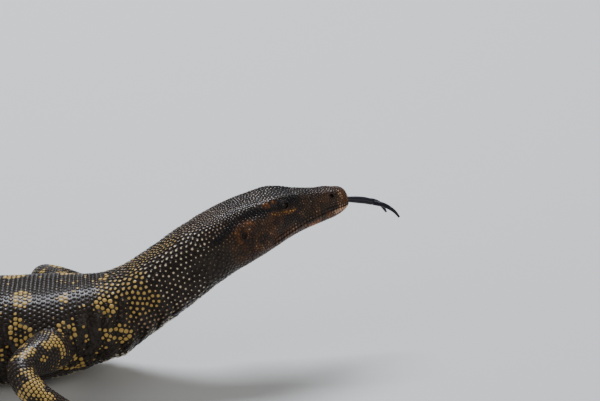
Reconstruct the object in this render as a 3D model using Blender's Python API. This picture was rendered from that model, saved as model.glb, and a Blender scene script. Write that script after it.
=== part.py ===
import math

import bmesh
import bpy
import numpy as np
from mathutils import Matrix, Vector

# A life-size Asian water monitor resting on its belly, head raised, tongue out.
# The build frame has the snout's tip over the origin, +X ahead, +Y to the animal's left, +Z up.
# Body proportions below are in percent of the snout-vent length, as lizards are measured.

# Driving dimensions, in metres
SNOUT_VENT = 0.665
SNOUT_HEIGHT = 0.1265
GAP = 0.0003
PERCENT = SNOUT_VENT / 100

# Stations along the animal, in percent behind the snout's tip
HEAD_END = 17.8
NECK_END = 36.0
TORSO_END = 98.0
TAIL_ENDS = (123.0, 150.0, 180.0, 212.0, 248.0)
SHOULDER = 41.0
HIP = 92.0
STATION_STEP = 0.25

# Heading to the left and nose-up pitch along the spine: (station, degrees)
HEADINGS = [(0, 26), (15.5, 26), (18, 24.5), (21, 20.5), (25, 14), (30, 7.5), (35, 3), (41, 1), (56, -3),
            (75, -8), (92, -13), (100, -16), (116, -20), (136, -15), (160, 4), (185, 24), (210, 34),
            (230, 30), (248, 20)]
PITCHES = [(0, 7), (12, 7), (14.5, 11), (17, 20), (21, 29), (25, 33), (29, 31.5), (33, 24), (37, 14),
           (41, 7.5), (47, 3), (56, 1), (66, 0.4), (92, 1.2), (100, 1.6), (116, 1.9), (248, 1.95)]

# Body outline: (station, half width, rise above the spine line, drop below it, upper power, lower power)
# A power of 2 gives an elliptical half section, more gives a boxier one, less a keeled one.
OUTLINE = [
    (0.00, 0.56, 0.92, 0.18, 2.2, 2.0),
    (0.14, 0.90, 1.40, 0.46, 2.2, 2.0),
    (0.42, 1.17, 1.82, 0.84, 2.4, 2.0),
    (0.90, 1.37, 2.08, 1.14, 2.6, 2.1),
    (1.80, 1.59, 2.26, 1.44, 2.8, 2.2),
    (2.80, 1.74, 2.48, 1.60, 2.9, 2.2),
    (4.50, 2.02, 2.92, 1.62, 3.0, 2.3),
    (6.60, 2.42, 3.50, 1.66, 3.0, 2.3),
    (8.60, 2.92, 4.00, 1.82, 3.1, 2.3),
    (10.2, 3.36, 4.34, 2.06, 3.1, 2.3),
    (12.0, 3.90, 4.52, 2.44, 2.9, 2.3),
    (14.0, 4.26, 4.62, 2.90, 2.6, 2.3),
    (16.0, 4.30, 4.66, 3.24, 2.4, 2.2),
    (18.0, 4.18, 4.74, 3.46, 2.3, 2.2),
    (20.8, 4.22, 4.76, 3.62, 2.2, 2.2),
    (24.8, 4.46, 4.64, 3.86, 2.2, 2.2),
    (28.8, 4.86, 4.66, 4.12, 2.2, 2.2),
    (33.0, 5.50, 4.92, 4.60, 2.2, 2.3),
    (37.0, 6.40, 5.44, 5.30, 2.2, 2.4),
    (41.0, 7.20, 5.90, 5.90, 2.2, 2.5),
    (47.0, 7.80, 6.10, 6.30, 2.2, 2.6),
    (56.0, 8.70, 6.20, 6.60, 2.2, 2.7),
    (66.0, 9.20, 6.25, 6.60, 2.2, 2.7),
    (76.0, 8.70, 6.10, 6.40, 2.2, 2.7),
    (85.0, 7.20, 5.80, 6.20, 2.2, 2.6),
    (92.0, 6.10, 5.50, 6.00, 2.2, 2.5),
    (100.0, 5.20, 5.10, 5.60, 2.0, 2.4),
    (106.0, 4.50, 4.85, 5.30, 1.9, 2.3),
    (115.0, 3.60, 4.60, 5.10, 1.8, 2.2),
    (130.0, 2.65, 4.15, 4.70, 1.7, 2.2),
    (150.0, 1.92, 3.45, 4.00, 1.6, 2.2),
    (175.0, 1.32, 2.55, 3.20, 1.6, 2.2),
    (200.0, 0.86, 1.70, 2.30, 1.7, 2.2),
    (225.0, 0.50, 0.95, 1.50, 1.8, 2.0),
    (242.0, 0.30, 0.42, 0.80, 2.0, 2.0),
    (248.0, 0.12, 0.14, 0.40, 2.0, 2.0),
]
FLOOR_SINK = 0.25

# Swellings and hollows of the flesh, alike on both sides:
# (name, station, elevation in degrees, reach along, reach around in degrees, height in percent)
SWELLINGS = [
    ("nostril bulb", 2.6, 48, 0.9, 20, 0.20),
    ("snout hollow", 6.0, 30, 2.2, 16, -0.26),
    ("eye hollow", 9.8, 38, 1.3, 11, -0.20),
    ("brow ridge", 9.6, 62, 2.2, 12, 0.30),
    ("temple groove", 14.2, 48, 3.0, 9, -0.30),
    ("jaw muscle", 14.0, 2, 2.6, 24, 0.34),
    ("cheek corner", 11.4, -22, 1.6, 14, 0.16),
    ("throat", 15.5, -90, 4.0, 40, 0.30),
    ("neck muscle", 24.0, 50, 6.0, 18, 0.22),
    ("neck furrow", 24.0, 16, 6.0, 12, -0.20),
    ("throat fold", 34.5, -70, 1.4, 40, 0.45),
    ("shoulder", 42.0, 16, 4.2, 34, 0.80),
    ("hip", 92.0, 14, 4.6, 34, 0.90),
    ("spine groove", 66.0, 90, 26.0, 9, -0.16),
    ("tail root", 103.0, -30, 5.0, 28, 0.40),
]

# Mouth line seen from the side: (station, height above the spine line)
MOUTH_LINE = [(-1.2, 0.00), (0.0, 0.00), (1.5, 0.05), (3.5, 0.14), (6.0, 0.10), (8.5, -0.14), (10.8, -0.34),
              (12.4, -0.42), (13.3, -1.05), (14.2, -2.10), (15.2, -6.00)]
MOUTH_CORNER = 12.4
LIP_GAP = 0.0007
LIP_RADIUS = 0.19
LIP_SINK = 0.08
LIP_OFFSET = 0.27
LIP_RINGS = 11

# Eye, nostril and ear: stations and elevations on the head, sizes in percent
EYE = {"station": 9.8, "height": 3.42, "radius": 0.86, "sunk": 0.60, "lid": 0.18, "slit": (0.66, 0.46),
       "slant": 4}
NOSTRIL = {"station": 2.55, "height": 1.85, "size": (0.26, 0.20, 0.42), "slant": 25}
EAR = {"station": 15.9, "height": 2.1, "size": (0.46, 0.66, 0.30), "slant": 20}

# Tongue, in metres from the snout's tip: stem, near tine and far tine
TONGUE_STEM = [(-0.0062, -0.0030, -0.0009), (0.0, 0.0, -0.0001), (0.0055, 0.0021, -0.0010),
               (0.0105, 0.0037, -0.0020), (0.0165, 0.0049, -0.0032), (0.0225, 0.0055, -0.0050)]
NEAR_TINE = [(0.0180, 0.0048, -0.0040), (0.0240, 0.0048, -0.0053), (0.0325, 0.0030, -0.0068),
             (0.0406, 0.0010, -0.0112), (0.0455, -0.0010, -0.0165)]
FAR_TINE = [(0.0180, 0.0058, -0.0036), (0.0235, 0.0072, -0.0048), (0.0295, 0.0090, -0.0086),
            (0.0344, 0.0105, -0.0165)]
TONGUE_WIDTH = 0.0025
TONGUE_DEPTH = 0.0017
TONGUE_SWELL = [0.86, 0.88, 0.90, 0.96, 1.04, 1.10, 1.12, 1.10, 1.04, 0.96]
TINE_RADIUS = 0.0016
TINE_TIP = 0.0007

# Limbs: points are (ahead, out, height) in percent from the floor below a spine station
LIMBS = {
    "front_right": {"station": SHOULDER, "side": -1, "palm_turn": 14, "radii": [2.9, 2.7, 1.85, 1.75, 1.15],
                    "path": [(0.2, 3.2, 5.9), (-1.6, 8.6, 7.0), (-4.6, 13.6, 6.9), (-2.6, 17.0, 5.0),
                             (3.4, 18.4, 2.0)]},
    "front_left": {"station": SHOULDER, "side": 1, "palm_turn": 8, "radii": [2.9, 2.7, 1.85, 1.75, 1.15],
                   "path": [(0.4, 3.2, 5.9), (-0.6, 8.6, 7.0), (-2.6, 13.4, 6.8), (0.0, 16.4, 4.9),
                            (6.2, 17.2, 2.0)]},
    "hind_right": {"station": HIP, "side": -1, "palm_turn": 44, "radii": [3.6, 3.2, 2.1, 2.0, 1.25],
                   "path": [(0.0, 2.6, 5.6), (4.4, 8.0, 6.6), (9.0, 12.6, 6.5), (6.4, 16.0, 4.8),
                            (-1.4, 17.4, 2.1)]},
    "hind_left": {"station": HIP, "side": 1, "palm_turn": 36, "radii": [3.6, 3.2, 2.1, 2.0, 1.25],
                  "path": [(0.0, 2.6, 5.6), (3.4, 8.0, 6.6), (7.0, 13.0, 6.5), (3.8, 16.2, 4.8),
                           (-4.6, 16.6, 2.1)]},
}
LIMB_RINGS, ELBOW_RING, WRIST_RING = 22, 11, 21

# Feet: palm size and, for each toe, (root along the palm, root across, turn in degrees, length)
HAND = {"length": 3.9, "half_width": 1.75, "rise": 1.15, "toe_radius": 0.46, "claw": 1.45,
        "toes": [(0.55, -0.80, -40, 2.3), (0.86, -0.55, -19, 3.2), (0.95, 0.0, -1, 3.7),
                 (0.90, 0.55, 16, 3.6), (0.62, 0.85, 44, 2.7)]}
FOOT = {"length": 5.6, "half_width": 1.70, "rise": 1.30, "toe_radius": 0.50, "claw": 1.55,
        "toes": [(0.62, -0.80, -30, 2.6), (0.86, -0.60, -14, 4.2), (0.95, -0.1, -1, 5.6),
                 (0.92, 0.50, 12, 6.6), (0.45, 0.90, 50, 4.2)]}

# Palm: (share of length, share of half width, share of rise)
PALM_SHAPE = [(0.34, 0.88, 1.15), (0.60, 1.0, 1.0), (0.84, 0.94, 0.82), (1.0, 0.58, 0.55)]
# Toe and claw: (share of the reach, height and thickness in toe radii)
TOE_SHAPE = [(-0.16, 1.0, 1.05), (0.20, 1.50, 1.0), (0.56, 1.30, 0.9), (0.84, 0.92, 0.86),
             (0.97, 0.80, 0.78), (1.03, 0.76, 0.5)]
CLAW_SHAPE = [(-0.22, 0.85, 0.55), (0.15, 1.08, 0.58), (0.48, 0.98, 0.44), (0.80, 0.62, 0.26),
              (1.0, 0.24, 0.10)]

# Ring counts
HEAD_RINGS, NECK_RINGS, TORSO_RINGS, TAIL_RINGS = 31, 12, 20, 8
BODY_SIDES, TAIL_SIDES, LIMB_SIDES, TOE_SIDES, CLAW_SIDES, TONGUE_SIDES = 32, 20, 14, 8, 6, 8

# Colours (linear) and roughness of each part, from the photo
SKIN_DARK = ((0.035, 0.026, 0.022), 0.45)
SKIN_CHEEK = ((0.070, 0.034, 0.020), 0.45)
SKIN_BACK = ((0.040, 0.034, 0.026), 0.50)
SKIN_LEG = ((0.045, 0.038, 0.028), 0.50)
EYE_BROWN = ((0.020, 0.012, 0.006), 0.08)
TONGUE_BLUE = ((0.020, 0.018, 0.034), 0.30)


def clear_scene():
    for item in list(bpy.data.objects):
        bpy.data.objects.remove(item, do_unlink=True)


def make_collection(name):
    collection = bpy.data.collections.new(name)
    bpy.context.scene.collection.children.link(collection)
    return collection


def make_material(name, look):
    colour, roughness = look
    material = bpy.data.materials.new(name)
    material.use_nodes = True
    shader = material.node_tree.nodes["Principled BSDF"]
    shader.inputs["Base Color"].default_value = (*colour, 1)
    shader.inputs["Roughness"].default_value = roughness
    shader.inputs["Metallic"].default_value = 0
    return material


def smooth_line(knots):
    # A smooth curve through the knots that never overshoots them
    places = np.array([knot[0] for knot in knots], float)
    values = np.array([knot[1] for knot in knots], float)
    spans = np.diff(places)
    slopes = np.diff(values) / spans
    tangents = np.zeros(len(places))
    tangents[0], tangents[-1] = slopes[0], slopes[-1]
    for i in range(1, len(places) - 1):
        before, after = slopes[i - 1], slopes[i]
        if before * after > 0:
            tangents[i] = 2 * before * after / (before + after)

    def value_at(place):
        place = min(max(place, places[0]), places[-1])
        i = min(int(np.searchsorted(places, place, side="right")) - 1, len(spans) - 1)
        t = (place - places[i]) / spans[i]
        return ((1 + 2 * t) * (1 - t) ** 2 * values[i] + t * (1 - t) ** 2 * spans[i] * tangents[i]
                + t * t * (3 - 2 * t) * values[i + 1] + t * t * (t - 1) * spans[i] * tangents[i + 1])

    return value_at


heading_at = smooth_line(HEADINGS)
pitch_at = smooth_line(PITCHES)
outline_at = [smooth_line([(row[0], row[column]) for row in OUTLINE]) for column in range(1, 6)]
mouth_at = smooth_line(MOUTH_LINE)


def forward_at(station):
    heading, pitch = math.radians(heading_at(station)), math.radians(pitch_at(station))
    return Vector((math.cos(pitch) * math.cos(heading), math.cos(pitch) * math.sin(heading), math.sin(pitch)))


def trace_spine():
    # Places along the spine, found by walking back from the snout
    place = Vector((0, 0, SNOUT_HEIGHT))
    places = [place.copy()]
    count = int(round(OUTLINE[-1][0] / STATION_STEP))
    for i in range(count):
        place = place - forward_at((i + 0.5) * STATION_STEP) * STATION_STEP * PERCENT
        places.append(place)
    return places


SPINE = trace_spine()


def spine_frame(station):
    # Place on the spine with its forward, left and up directions
    forward = forward_at(station)
    if station <= 0:
        place = SPINE[0] - forward * station * PERCENT
    else:
        i = min(int(station / STATION_STEP), len(SPINE) - 2)
        place = SPINE[i].lerp(SPINE[i + 1], station / STATION_STEP - i)
    left = Vector((0, 0, 1)).cross(forward).normalized()
    return place, forward, left, forward.cross(left)


def swelling_at(station, elevation):
    height = 0
    for _, centre, level, along, around, amount in SWELLINGS:
        off = ((station - centre) / along) ** 2 + ((elevation - level) / around) ** 2
        if off < 9:
            height += amount * math.exp(-off)
    return height


def flesh_point(station, angle):
    # Skin point in the spine frame, in percent: angle 0 is the left side, 90 the back, 270 the belly
    half_width, rise, drop, upper, lower = [line(station) for line in outline_at]
    across, upright = math.cos(math.radians(angle)), math.sin(math.radians(angle))
    power = upper if upright >= 0 else lower
    floor_drop = spine_frame(station)[0].z / PERCENT + FLOOR_SINK
    reach = rise if upright >= 0 else min(drop, floor_drop)
    size = (abs(across) ** power + abs(upright) ** power) ** (-1 / power)
    side, height = size * across * half_width, size * upright * reach
    elevation = math.degrees(math.atan2(upright, abs(across)))
    stretch = 1 + swelling_at(station, elevation) / math.hypot(side, height)
    return side * stretch, height * stretch


def angle_at_height(station, height):
    # The angle at which the side of the body is this high over the spine line
    _, rise, drop, upper, lower = [line(station) for line in outline_at]
    reach, power = (rise, upper) if height >= 0 else (drop, lower)
    level = min(abs(height) / reach, 1)
    width = (1 - level ** power) ** (1 / power)
    return math.copysign(math.degrees(math.atan2(level, width)), height)


def on_spine(station, side, height, ahead=0):
    place, forward, left, up = spine_frame(station)
    return place + (forward * ahead + left * side + up * height) * PERCENT


def skin_point(station, angle):
    point = on_spine(station, *flesh_point(station, angle))
    point.z = max(point.z, 0)
    return point


def loft(name, rings, material, collection):
    # Closed skin over rings of equal count, with a flat cap on each end
    mesh = bpy.data.meshes.new(name)
    shape = bmesh.new()
    rows = [[shape.verts.new(point) for point in ring] for ring in rings]
    sides = len(rows[0])
    for row, following in zip(rows, rows[1:]):
        for j in range(sides):
            k = (j + 1) % sides
            shape.faces.new((row[j], row[k], following[k], following[j]))
    shape.faces.new(list(reversed(rows[0])))
    shape.faces.new(rows[-1])
    bmesh.ops.recalc_face_normals(shape, faces=shape.faces)
    shape.to_mesh(mesh)
    shape.free()
    mesh.materials.append(material)
    item = bpy.data.objects.new(name, mesh)
    collection.objects.link(item)
    return item


def even_spread(start, end, count, bunch=1.0):
    # Stations from start to end, closer together near the start where bunch is over 1
    return [start + (end - start) * (i / count) ** bunch for i in range(count + 1)]


def body_length(name, start, end, rings, sides, material, collection, bunch=1.0):
    turns = [360 * j / sides for j in range(sides)]
    stations = even_spread(start, end, rings, bunch)
    return loft(name, [[skin_point(s, a) for a in turns] for s in stations], material, collection)


def tube_frames(points):
    # Directions along a path, with level side directions where it can
    frames = []
    for i, point in enumerate(points):
        ahead = (points[min(i + 1, len(points) - 1)] - points[max(i - 1, 0)]).normalized()
        side = Vector((0, 0, 1)).cross(ahead)
        side = side.normalized() if side.length > 0.05 else Vector((0, 1, 0))
        frames.append((point, side, ahead.cross(side).normalized()))
    return frames


def tube(name, points, radii, sides, material, collection, flat=1.0):
    # Tapered tube along a path, its height scaled by flat (one number or one a ring), kept above the floor
    flats = flat if isinstance(flat, list) else [flat] * len(points)
    rings = []
    for (point, side, up), radius, low in zip(tube_frames(points), radii, flats):
        ring = []
        for j in range(sides):
            turn = 2 * math.pi * (j + 0.5) / sides
            corner = point + side * math.cos(turn) * radius + up * math.sin(turn) * radius * low
            corner.z = max(corner.z, 0)
            ring.append(corner)
        rings.append(ring)
    return loft(name, rings, material, collection)


def curved_path(points, count):
    # Even samples of a smooth curve through the points, with each sample's share of the way
    lengths = np.cumsum([0] + [(b - a).length for a, b in zip(points, points[1:])])
    lines = [smooth_path_axis([(s, p[axis]) for s, p in zip(lengths, points)]) for axis in range(3)]
    shares = [lengths[-1] * i / count for i in range(count + 1)]
    return [Vector([line(s) for line in lines]) for s in shares], [s / lengths[-1] for s in shares]


def smooth_path_axis(knots):
    # One axis of a Catmull-Rom curve
    places = [knot[0] for knot in knots]
    values = [knot[1] for knot in knots]

    def slope(i):
        low, high = max(i - 1, 0), min(i + 1, len(knots) - 1)
        return (values[high] - values[low]) / (places[high] - places[low])

    def value_at(place):
        i = min(max(int(np.searchsorted(places, place, side="right")) - 1, 0), len(places) - 2)
        span = places[i + 1] - places[i]
        t = (place - places[i]) / span
        return ((1 + 2 * t) * (1 - t) ** 2 * values[i] + t * (1 - t) ** 2 * span * slope(i)
                + t * t * (3 - 2 * t) * values[i + 1] + t * t * (t - 1) * span * slope(i + 1))

    return value_at


def ball(name, centre, size, axes, material, collection, segments=20, rings=10):
    # Ellipsoid with its three half sizes along the given axes
    mesh = bpy.data.meshes.new(name)
    shape = bmesh.new()
    bmesh.ops.create_uvsphere(shape, u_segments=segments, v_segments=rings, radius=1)
    turn = Matrix([axis * length for axis, length in zip(axes, size)]).transposed().to_4x4()
    bmesh.ops.transform(shape, matrix=Matrix.Translation(centre) @ turn, verts=shape.verts)
    bmesh.ops.recalc_face_normals(shape, faces=shape.faces)
    shape.to_mesh(mesh)
    shape.free()
    mesh.materials.append(material)
    item = bpy.data.objects.new(name, mesh)
    collection.objects.link(item)
    return item


def prism(name, outline, half_width, station, material, collection):
    # Side-view outline in percent, extruded across the head to both sides
    rings = [[on_spine(station, side, height, station - s) for s, height in outline]
             for side in (-half_width, half_width)]
    return loft(name, rings, material, collection)


def combine(item, pieces, operation, solver="EXACT"):
    # One Boolean with all the pieces, applied, after which the pieces are removed
    group = bpy.data.collections.new("pieces")
    bpy.context.scene.collection.children.link(group)
    for piece in pieces:
        for owner in list(piece.users_collection):
            owner.objects.unlink(piece)
        group.objects.link(piece)
    modifier = item.modifiers.new(operation.lower(), "BOOLEAN")
    modifier.operation = operation
    modifier.solver = solver
    modifier.operand_type = "COLLECTION"
    modifier.collection = group
    apply_modifiers(item)
    for piece in pieces:
        bpy.data.objects.remove(piece, do_unlink=True)
    bpy.data.collections.remove(group)
    keep_largest(item)


def apply_modifiers(item):
    bpy.context.view_layer.update()
    graph = bpy.context.evaluated_depsgraph_get()
    mesh = bpy.data.meshes.new_from_object(item.evaluated_get(graph))
    item.modifiers.clear()
    item.data = mesh


def keep_largest(item):
    # Drops every loose scrap but the largest closed surface
    shape = bmesh.new()
    shape.from_mesh(item.data)
    bmesh.ops.triangulate(shape, faces=shape.faces)
    bmesh.ops.remove_doubles(shape, verts=shape.verts, dist=1e-6)
    bmesh.ops.dissolve_degenerate(shape, dist=1e-6, edges=shape.edges)
    unseen, groups = set(shape.verts), []
    while unseen:
        stack, found = [unseen.pop()], []
        while stack:
            vert = stack.pop()
            found.append(vert)
            for edge in vert.link_edges:
                other = edge.other_vert(vert)
                if other in unseen:
                    unseen.discard(other)
                    stack.append(other)
        groups.append(found)
    groups.sort(key=len)
    for scrap in groups[:-1]:
        bmesh.ops.delete(shape, geom=scrap, context="VERTS")
    bmesh.ops.triangulate(shape, faces=shape.faces)
    shape.to_mesh(item.data)
    shape.free()


def head_axes(side, turn_out, turn_up, slant=0):
    # Along, up and outward directions for a feature set into one side of the head
    _, forward, left, up = spine_frame(8)
    lean_out, lean_up = math.tan(math.radians(turn_out)), math.tan(math.radians(turn_up))
    outward = (left * side + forward * lean_out + up * lean_up).normalized()
    along = (forward - outward * forward.dot(outward)).normalized()
    upward = outward.cross(along) * side
    lean = math.radians(slant)
    tilted = along * math.cos(lean) + upward * math.sin(lean)
    return tilted, upward * math.cos(lean) - along * math.sin(lean), outward


def side_point(station, height, side):
    # Skin point at a height over the spine line, on the left or right side
    angle = angle_at_height(station, height)
    return skin_point(station, angle if side > 0 else 180 - angle)


def eye_centre(side):
    surface = side_point(EYE["station"], EYE["height"], side)
    return surface - head_axes(side, 12, 14)[2] * EYE["sunk"] * PERCENT


def lip_path(drop):
    # Around the mouth from the left corner past the snout to the right one
    stations = even_spread(0.3, MOUTH_CORNER - 0.3, LIP_RINGS, 1.5)[::-1]
    path = []
    for side in (1, -1):
        half = []
        for station in stations:
            point = side_point(station, mouth_at(station) + drop, side)
            half.append(point - spine_frame(station)[2] * side * LIP_SINK * PERCENT)
        path += half if side > 0 else half[::-1]
    return path


def make_lip(name, drop, material, collection):
    path = lip_path(drop)
    taper = [0.5 if i in (0, len(path) - 1) else 1 for i in range(len(path))]
    return tube(name, path, [LIP_RADIUS * PERCENT * t for t in taper], 6, material, collection)


def mouth_blocks(material, collection):
    # Blocks that fill all below and all above the mouth line, each reaching past it by half the gap
    lower, upper = [], []
    for i, (station, height) in enumerate(MOUTH_LINE):
        before, after = MOUTH_LINE[max(i - 1, 0)], MOUTH_LINE[min(i + 1, len(MOUTH_LINE) - 1)]
        run, fall = after[0] - before[0], after[1] - before[1]
        half = (LIP_GAP if station < MOUTH_CORNER else GAP) / 2 / PERCENT / math.hypot(run, fall)
        lower.append((station - fall * half, height + run * half))
        upper.append((station + fall * half, height - run * half))
    last = MOUTH_LINE[-1][0]
    below = prism("below", lower + [(last, -9), (-1.2, -9)], 8, 8, material, collection)
    above = prism("above", upper + [(last + 6, -6), (last + 6, 9), (-1.2, 9)], 8, 8, material, collection)
    return below, above


def tongue_piece(name, points, radii, flat, material, collection):
    start = Vector((0, 0, SNOUT_HEIGHT))
    path, _ = curved_path([start + Vector(point) for point in points], len(radii) - 1)
    return tube(name, path, radii, TONGUE_SIDES, material, collection, flat)


def make_tongue(skin, collection):
    widths = [TONGUE_WIDTH * swell for swell in TONGUE_SWELL]
    stem = tongue_piece("tongue", TONGUE_STEM, widths, TONGUE_DEPTH / TONGUE_WIDTH, skin, collection)
    taper = [TINE_RADIUS + (TINE_TIP - TINE_RADIUS) * i / 8 for i in range(9)]
    tines = [tongue_piece("tine", path, taper, 0.9, skin, collection) for path in (NEAR_TINE, FAR_TINE)]
    combine(stem, tines, "UNION")
    return stem


def tongue_room(material, collection):
    # The tongue's stem with the gap around it, cut out of the mouth, with a little room behind its root
    room = TONGUE_WIDTH * TONGUE_SWELL[3]
    depth = (TONGUE_DEPTH * TONGUE_SWELL[3] + GAP) / room
    points = [(-0.0066, -0.0032, -0.00095)] + TONGUE_STEM[:4]
    return tongue_piece("tongue_room", points, [room + GAP] * 8, depth * 0.9, material, collection)


def make_head(skin, cheek, collection):
    head = body_length("head", 0, HEAD_END, HEAD_RINGS, BODY_SIDES, skin, collection, 1.45)
    jaw = body_length("lower_jaw", 0, HEAD_END, HEAD_RINGS, BODY_SIDES, cheek, collection, 1.45)
    below, above = mouth_blocks(skin, collection)
    combine(head, [below], "DIFFERENCE")
    combine(jaw, [above], "DIFFERENCE")
    lids = []
    for side in (1, -1):
        radius = (EYE["radius"] + EYE["lid"]) * PERCENT
        lids.append(ball("lid", eye_centre(side), (radius * 1.12, radius * 0.98, radius),
                         head_axes(side, 12, 14), skin, collection, 20, 10))
    combine(head, lids + [make_lip("upper_lip", LIP_OFFSET, skin, collection)], "UNION")
    combine(jaw, [make_lip("lower_lip", -LIP_OFFSET, cheek, collection)], "UNION")
    hollows = [tongue_room(skin, collection)]
    for side in (1, -1):
        hollows += eye_hollows(side, skin, collection)
        hollows.append(nostril_hollow(side, skin, collection))
        hollows.append(ear_hollow(side, skin, collection))
    combine(head, hollows, "DIFFERENCE")
    combine(jaw, [tongue_room(skin, collection)], "DIFFERENCE")
    return head, jaw


def eye_hollows(side, skin, collection):
    # Room for the eyeball and the slit between the lids, which slants a little so that no edges coincide
    axes = head_axes(side, 12, 14)
    slit_axes = head_axes(side, 12, 14, EYE["slant"])
    centre = eye_centre(side)
    radius = EYE["radius"] * PERCENT + GAP
    room = ball("eye_room", centre, (radius, radius, radius), axes, skin, collection, 16, 8)
    long, high = [size * PERCENT for size in EYE["slit"]]
    slit_centre = centre + axes[2] * 1.15 * EYE["radius"] * PERCENT
    slit = ball("eye_slit", slit_centre, (long, high, 0.9 * radius), slit_axes, skin, collection, 18, 8)
    return [room, slit]


def nostril_hollow(side, skin, collection):
    axes = head_axes(side, 25, 35, NOSTRIL["slant"])
    surface = side_point(NOSTRIL["station"], NOSTRIL["height"], side)
    size = [share * PERCENT for share in NOSTRIL["size"]]
    return ball("nostril", surface, size, axes, skin, collection, 14, 8)


def ear_hollow(side, skin, collection):
    axes = head_axes(side, -8, 6, EAR["slant"])
    surface = side_point(EAR["station"], EAR["height"], side)
    size = [share * PERCENT for share in EAR["size"]]
    return ball("ear", surface, size, axes, skin, collection, 16, 8)


def make_eye(name, side, look, collection):
    radius = EYE["radius"] * PERCENT
    return ball(name, eye_centre(side), [radius] * 3, head_axes(side, 12, 14), look, collection, 16, 10)


def limb_point(limb, ahead, out, height):
    # From percent ahead, out and up to a place over the floor beside the body
    place, forward, left, _ = spine_frame(limb["station"])
    forward = Vector((forward.x, forward.y, 0)).normalized()
    spot = place + (forward * ahead + left * limb["side"] * out) * PERCENT
    return Vector((spot.x, spot.y, height * PERCENT))


def limb_lengths(limb, upper_name, lower_name, skin, collection):
    # Upper and lower lengths of a limb, parted at the elbow or knee
    path, shares = curved_path([limb_point(limb, *point) for point in limb["path"]], LIMB_RINGS)
    places = np.linspace(0, 1, len(limb["radii"]))
    radius_at = smooth_line(list(zip(places, limb["radii"])))
    radii = [radius_at(share) * PERCENT for share in shares]
    elbow, wrist = ELBOW_RING, WRIST_RING
    above, below = slice(0, elbow + 1), slice(elbow - 1, wrist + 1)
    upper = tube(upper_name, path[above], radii[above], LIMB_SIDES, skin, collection)
    lower = tube(lower_name, path[below], radii[below], LIMB_SIDES, skin, collection)
    return upper, lower, (path[wrist - 1], path[wrist])


def grown_copy(item, margin):
    # A copy of a node, larger all round by a margin
    copy = item.copy()
    copy.data = item.data.copy()
    bpy.context.scene.collection.objects.link(copy)
    normals = [normal.vector.copy() for normal in copy.data.vertex_normals]
    for vertex, normal in zip(copy.data.vertices, normals):
        vertex.co += normal * margin
    return copy


def cut_clear(item, neighbours):
    # Cuts a node back from its neighbours, so that the gap is left between them
    combine(item, [grown_copy(neighbour, GAP * 1.3) for neighbour in neighbours], "DIFFERENCE")


def make_foot(name, limb, bone, wrist_radius, kind, skin, collection):
    # Palm, five toes and their claws, fused into one node that lies flat on the floor
    side = limb["side"]
    _, forward, _, _ = spine_frame(limb["station"])
    turn = math.atan2(forward.y, forward.x) + side * math.radians(limb["palm_turn"])
    ahead = Vector((math.cos(turn), math.sin(turn), 0))
    out = Vector((-math.sin(turn), math.cos(turn), 0)) * side
    before, wrist = bone
    heel = Vector((wrist.x, wrist.y, 0))

    def place(along, across, height):
        return heel + (ahead * along + out * across + Vector((0, 0, height))) * PERCENT

    length, width, rise = kind["length"], kind["half_width"], kind["rise"]
    points = [before, wrist, place(0.16 * length, 0, 0.6 * wrist.z / PERCENT)]
    radii = [wrist_radius * wide for wide in (0.8, 1.0, 1.1)]
    flats = [1.0, 0.95, 0.80]
    for share, wide, thick in PALM_SHAPE:
        points.append(place(share * length, 0, 0.5 * thick * rise))
        radii.append(wide * width * PERCENT)
        flats.append(0.6 * thick * rise / (wide * width))
    palm = tube(name, points, radii, LIMB_SIDES, skin, collection, flats)
    pieces = []
    for toe in kind["toes"]:
        pieces += make_toe(place, toe, kind, skin, collection)
    combine(palm, pieces, "UNION", "MANIFOLD")
    return palm


def make_toe(place, toe, kind, skin, collection):
    # A toe arched over its knuckles, and its curved claw
    radius = kind["toe_radius"]
    along, across, angle = toe[0] * kind["length"], toe[1] * kind["half_width"], math.radians(toe[2])
    reach = toe[3]
    pieces = []
    for part_name, rows, start, scale, sides in (("toe", TOE_SHAPE, 0, reach, TOE_SIDES),
                                                 ("claw", CLAW_SHAPE, reach, kind["claw"], CLAW_SIDES)):
        points, radii = [], []
        for share, height, thick in rows:
            reached = start + share * scale
            points.append(place(along + math.cos(angle) * reached, across + math.sin(angle) * reached,
                                radius * height))
            radii.append(radius * thick * PERCENT)
        pieces.append(tube(part_name, points, radii, sides, skin, collection))
    return pieces


def make_limb(name, skin, torso, collection):
    limb = LIMBS[name]
    end, side_name = name.split("_")
    names = ("upper_arm", "forearm", "hand") if end == "front" else ("thigh", "shank", "foot")
    names = [f"{part_name}_{side_name}" for part_name in names]
    upper, lower, bone = limb_lengths(limb, names[0], names[1], skin, collection)
    kind = HAND if end == "front" else FOOT
    wrist_radius = limb["radii"][-1] * PERCENT * 1.03
    foot = make_foot(names[2], limb, bone, wrist_radius, kind, skin, collection)
    cut_clear(upper, [torso])
    cut_clear(lower, [upper])
    cut_clear(foot, [lower])


def centre_on_floor(collection):
    # Moves the whole animal so that the origin is at the middle of its outline, on the floor
    lows, highs = Vector((9, 9, 9)), Vector((-9, -9, -9))
    for item in collection.objects:
        for vertex in item.data.vertices:
            lows = Vector(map(min, lows, vertex.co))
            highs = Vector(map(max, highs, vertex.co))
    middle = Vector(((lows.x + highs.x) / 2, (lows.y + highs.y) / 2, lows.z))
    for item in collection.objects:
        item.data.transform(Matrix.Translation(-middle))


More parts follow.
